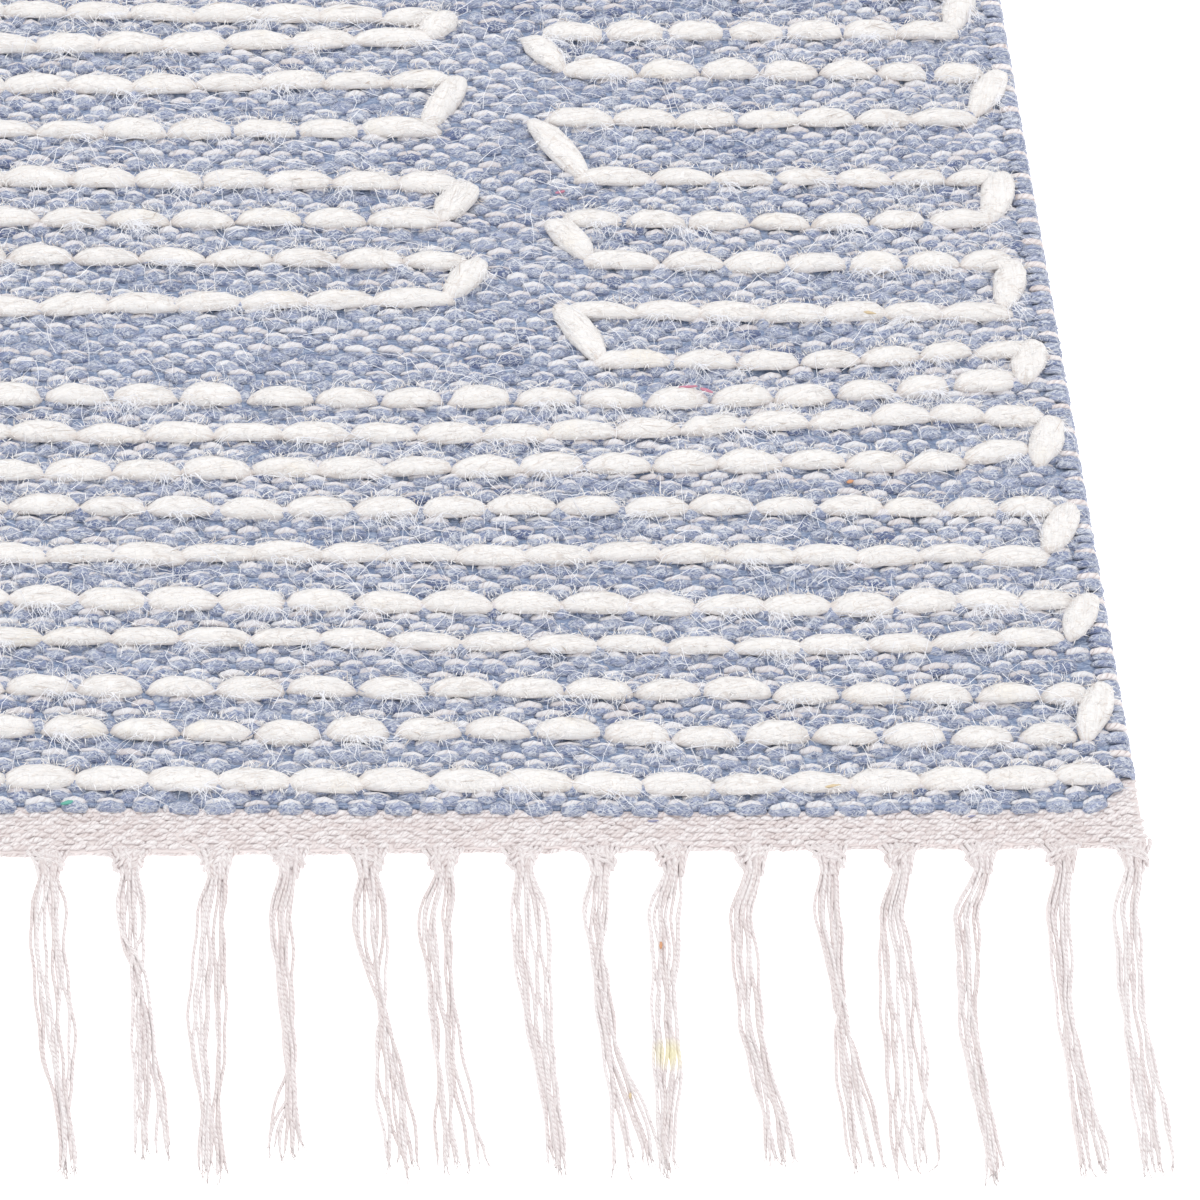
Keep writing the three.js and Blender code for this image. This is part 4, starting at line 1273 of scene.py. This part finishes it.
def hairLine(rng, spot, length, heading, rise, radius, pieces):
    x, y, lift = spot
    bend = rng.normal(0, 1.0)
    curl = rng.normal(0, 0.5)
    line = []
    for k in range(pieces + 1):
        t = k / pieces
        line.append((x, y, lift + rise * 4 * t * (1 - t), radius * (1 - 0.6 * t)))
        turned = heading + bend * (t - 0.5) + curl * math.sin(5 * t)
        x += length / pieces * math.cos(turned)
        y += length / pieces * math.sin(turned)
    return line


# A place on a cream stitch or turn. t runs from end to end, side from one edge to the other.
def stitchSpot(stitch, size, t, side):
    fromRight, up, lift, turn, long, wide = stitch[:6]
    full = fullness(size, t)
    along = t * size["halfLength"] * long
    across = side * size["halfWidth"] * wide * full
    dive = size["dive"] * abs(t) ** size["arch"]
    height = lift - dive + size["halfHeight"] * full * math.sqrt(1 - side * side)
    return (fromRight - along * math.cos(turn) + across * math.sin(turn),
            up + along * math.sin(turn) + across * math.cos(turn), height)


# The cream yarn that bears standing hairs: all in the corner, and less and less of it over the
# stretch beyond in which they fade
hairyYarn = {"fade": 36, "seed": 93}


def listCreamNear():
    rng = np.random.default_rng(hairyYarn["seed"])
    near = []
    for places, size in ((stitches, stitchSize), (bends, turnSize)):
        for place in places:
            beyond = max(place[0] - rug["cornerWidth"], place[1] - rug["cornerLength"], 0)
            if beyond < hairyYarn["fade"] * rng.uniform():
                near.append((place, size))
    return near


creamNear = listCreamNear()


def makeStrayHairs():
    look = strayHairs
    rng = np.random.default_rng(look["seed"])
    lines = []
    for k in range(look["corner"] + look["rest"]):
        wide, deep = rug["width"], rug["length"] - 14
        if k < look["corner"]:
            wide, deep = rug["cornerWidth"], rug["cornerLength"]
        spot = (xOf(rng.uniform(8, wide - 6)), yOf(rng.uniform(14, deep)), look["height"])
        lines.append(hairLine(rng, spot, rng.uniform(*look["length"]), rng.uniform(0, 2 * math.pi),
                              rng.uniform(0.5, 2.3), look["radius"], 4))
    return lines


def makeTufts():
    look = tufts
    rng = np.random.default_rng(look["seed"])
    lines = []
    for k in range(look["count"]):
        stitch, size = creamNear[rng.integers(0, len(creamNear))]
        middle = rng.uniform(-0.8, 0.8)
        lean = rng.normal(-math.pi / 2, 0.5)
        for hair in range(rng.integers(*look["hairs"])):
            t = min(0.95, max(-0.95, middle + rng.normal(0, 0.16)))
            fromRight, up, height = stitchSpot(stitch, size, t, -rng.uniform(0.75, 0.95))
            lines.append(hairLine(rng, (xOf(fromRight), yOf(up), height), rng.uniform(*look["length"]),
                                  lean + rng.normal(0, 0.6), rng.uniform(-0.3, 0.6), look["radius"], 3))
    return lines


# The place of one hair of the halo. It stands out from the yarn's side, at any angle.
def haloHair(rng, look):
    stitch, size = creamNear[rng.integers(0, len(creamNear))]
    side = rng.choice([-1, 1], p=[0.45, 0.55])
    out = rng.uniform(0.5, 0.9) if side > 0 else rng.uniform(0.6, 1)
    fromRight, up, height = stitchSpot(stitch, size, rng.uniform(-0.97, 0.97), side * out)
    heading = stitch[3] + side * math.pi / 2 + rng.normal(0, 0.95)
    thick = look["radius"] * rng.uniform(0.7, 1.2)
    return [fromRight, up, height, heading, rng.uniform(*look["length"]), thick, thick, rng.uniform(),
            rng.uniform(-0.5, 0.3) - 0.25 * side, rng.uniform(0, 2 * math.pi)]


def surfaceHair(rng, look):
    stitch, size = creamNear[rng.integers(0, len(creamNear))]
    fromRight, up, height = stitchSpot(stitch, size, rng.uniform(-0.8, 0.5), rng.uniform(-0.8, 0.8))
    length = rng.uniform(*look["length"])
    return [fromRight, up, height + look["radius"], stitch[3] + rng.normal(0.15, 0.3), length, look["radius"],
            look["radius"], rng.uniform(), rng.normal(0, 0.08), rng.uniform(-1.2, 1.2)]


def downHair(rng, look):
    fromRight, up = corner[rng.integers(0, len(corner))]["place"][:2]
    return [fromRight + rng.uniform(-2, 2), up + rng.uniform(-1.4, 1.4), look["height"],
            rng.uniform(0, 2 * math.pi), rng.uniform(*look["length"]), look["radius"], look["radius"],
            rng.uniform(), rng.uniform(-0.25, 0.15), rng.uniform(-1.2, 1.2)]


def hairPlaces(hair, look):
    rng = np.random.default_rng(look["seed"])
    return [hair(rng, look) for k in range(look["count"])]


# One millimetre long and with a radius of one, so that its place's scale gives its size
kinkedHair = yarnShape("kinkedHair", [(0, 0, 0, 0), (0.45, 2.2, 1, 1), (1, 0, 0, 0)], 3)
sweep("wool_hairs", makeStrayHairs(), hairLook, 3, 0.35, 6)
sweep("wool_tufts", makeTufts(), hairLook, 3, 0.35, 7)
standing = hairPlaces(haloHair, halo) + hairPlaces(surfaceHair, surfaceHairs)
scatter("wool_halo", standing, kinkedHair, haloLook, (0.5, 1.5), 8)
scatter("blue_down", hairPlaces(downHair, blueDown), kinkedHair, blueFibre, (0.5, 1.5), 9)
print("hairs strewn")


# Bits of dyed fibre that got into the yarn: fromRight, up, height, turn, half length, half width, hue
fleckHues = {"pink": 0.0, "teal": 0.2, "orange": 0.4, "straw": 0.6, "violet": 1.0}
flecks = [
    (85.5, 121.4, 5.5, 0.1, 2.2, 0.35, "pink"), (81.5, 120.6, 5.2, -0.4, 1.6, 0.4, "pink"),
    (109, 180.6, 3.6, 0.3, 1.2, 0.4, "pink"), (223, 11.0, 3.5, 0.2, 1.7, 0.55, "teal"),
    (52, 96.2, 3.5, 0.5, 0.9, 0.5, "orange"), (65, 13.0, 4.9, 0.1, 1.8, 0.4, "straw"),
    (43, 143.6, 5.2, -0.2, 1.8, 0.4, "straw"), (103.9, -24.4, 1.5, 1.4, 0.9, 0.4, "orange"),
    (113.2, -60.6, 1.4, 1.3, 0.8, 0.35, "straw"), (102.9, 6.2, 2.3, 0.05, 1.2, 0.16, "violet"),
    (36, 7.0, 2.3, 0.3, 0.9, 0.16, "violet"),
]


def makeDyedFibre():
    material, tree = newMaterial("dyedFibre")
    colour = addNode(tree, "ShaderNodeValToRGB", {"Fac": yarnValues(tree)["shade"], "stops": [
        (0.0, "#D08FA4"), (0.2, "#6FB5A7"), (0.4, "#D6A17E"), (0.6, "#DDC9A6"), (1.0, "#A3A5C4"),
    ]})
    return finishMaterial(material, {"Roughness": 0.9, "Specular IOR Level": 0.1}, colour)


fleckShape = yarnShape("fleck", grainLine({"halfLength": 1, "dive": 0.3, "arch": 2, "halfWidth": 1,
                                           "halfHeight": 1, "blunt": 2}, 5), 5)
places = [[f, u, z, turn, long, wide, 0.3, fleckHues[hue]] for f, u, z, turn, long, wide, hue in flecks]
scatter("dyed_flecks", places, fleckShape, makeDyedFibre(), (0.6, 0.9), 12)
print("flecks added")


# Every piece rides on the rug's one body

slots = {
    "blue_wool": ["ground_cloth", "weft_corner", "weft_near", "weft_far", "selvedge_wool",
                  "selvedge_wool_corner", "blue_down"],
    "cream_wool": ["wool_stitches_corner", "wool_stitches", "wool_turns_corner", "wool_turns", "wool_hairs",
                   "wool_tufts", "wool_halo", "dyed_flecks"],
    "cotton": ["cotton_corner", "selvedge_cotton", "selvedge_cotton_corner", "band_weave_corner"],
}
for end in ("near", "far"):
    slots["cotton"] += ["band_" + end, "band_weave_" + end, "tassel_strands_" + end,
                        "tassel_cords_" + end, "tassel_ends_" + end, "tassel_knots_" + end]
for slot, names in slots.items():
    for name in names:
        piece = bpy.data.objects[name]
        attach(piece, "root")
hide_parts("rug_body")
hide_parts("fringe_front")
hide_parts("fringe_back")
print("pieces tied to the frame")


# Floor, light and camera. The studio is in metres. Each lamp has its energy, its size and its place.
studio = {"floorSize": 60, "floorDrop": 0.0003, "floorGlow": 0.8, "sky": 0.86, "lampTarget": (0.1, -0.2, 0)}
lamps = {"keyLight": (26, 1.6, (-0.7, 0.9, 2.6)), "fillLight": (11, 2.0, (1.2, -2.0, 1.6))}


def makeFloor():
    size = studio["floorSize"] / 2
    mesh = bpy.data.meshes.new("floor")
    corners = [(-size, -size), (size, -size), (size, size), (-size, size)]
    mesh.from_pydata([(x, y, -studio["floorDrop"]) for x, y in corners], [], [(0, 1, 2, 3)])
    floor = newPiece("floor", mesh)
    material = newMaterial("paperBackdrop")[0]
    mesh.materials.append(finishMaterial(material, {
        "Roughness": 0.9, "Specular IOR Level": 0.1, "Emission Color": linear("#FFFFFF"),
        "Emission Strength": studio["floorGlow"],
    }, linear("#F4F4F4")))


def makeLight(name, energy, size, place):
    data = bpy.data.lights.new(name, "AREA")
    data.energy = energy
    data.shape = "DISK"
    data.size = size
    lamp = newPiece(name, data)
    lamp.location = place
    aim = Vector(studio["lampTarget"]) - Vector(place)
    lamp.rotation_euler = aim.to_track_quat("-Z", "Y").to_euler()


def makeStudio():
    world = bpy.data.worlds.new("softSky")
    world.use_nodes = True
    background = world.node_tree.nodes["Background"]
    background.inputs["Color"].default_value = linear("#FFFFFF")
    background.inputs["Strength"].default_value = studio["sky"]
    bpy.context.scene.world = world
    for name, lamp in lamps.items():
        makeLight(name, *lamp)
    bpy.context.scene.view_settings.view_transform = "Standard"


# The camera is fitted to the rows, edges and tassels of the photograph
view = {"azimuth": 11.66, "elevation": 51.04, "roll": 9.02, "distance": 1.1798,
        "target": (0.1961, -0.3908, 0.0), "lens": 166.1}


def makeCamera():
    azimuth, elevation = math.radians(view["azimuth"]), math.radians(view["elevation"])
    look = Vector((math.sin(azimuth) * math.cos(elevation), math.cos(azimuth) * math.cos(elevation),
                   -math.sin(elevation)))
    data = bpy.data.cameras.new("camera")
    data.sensor_width = 36
    data.lens = view["lens"]
    data.clip_end = 100
    camera = newPiece("camera", data)
    roll = Matrix.Rotation(math.radians(view["roll"]), 4, "Z")
    turn = look.to_track_quat("-Z", "Y").to_matrix().to_4x4() @ roll
    camera.matrix_world = Matrix.Translation(Vector(view["target"]) - look * view["distance"]) @ turn
    bpy.context.scene.camera = camera


makeFloor()
makeStudio()
makeCamera()
print("studio set")
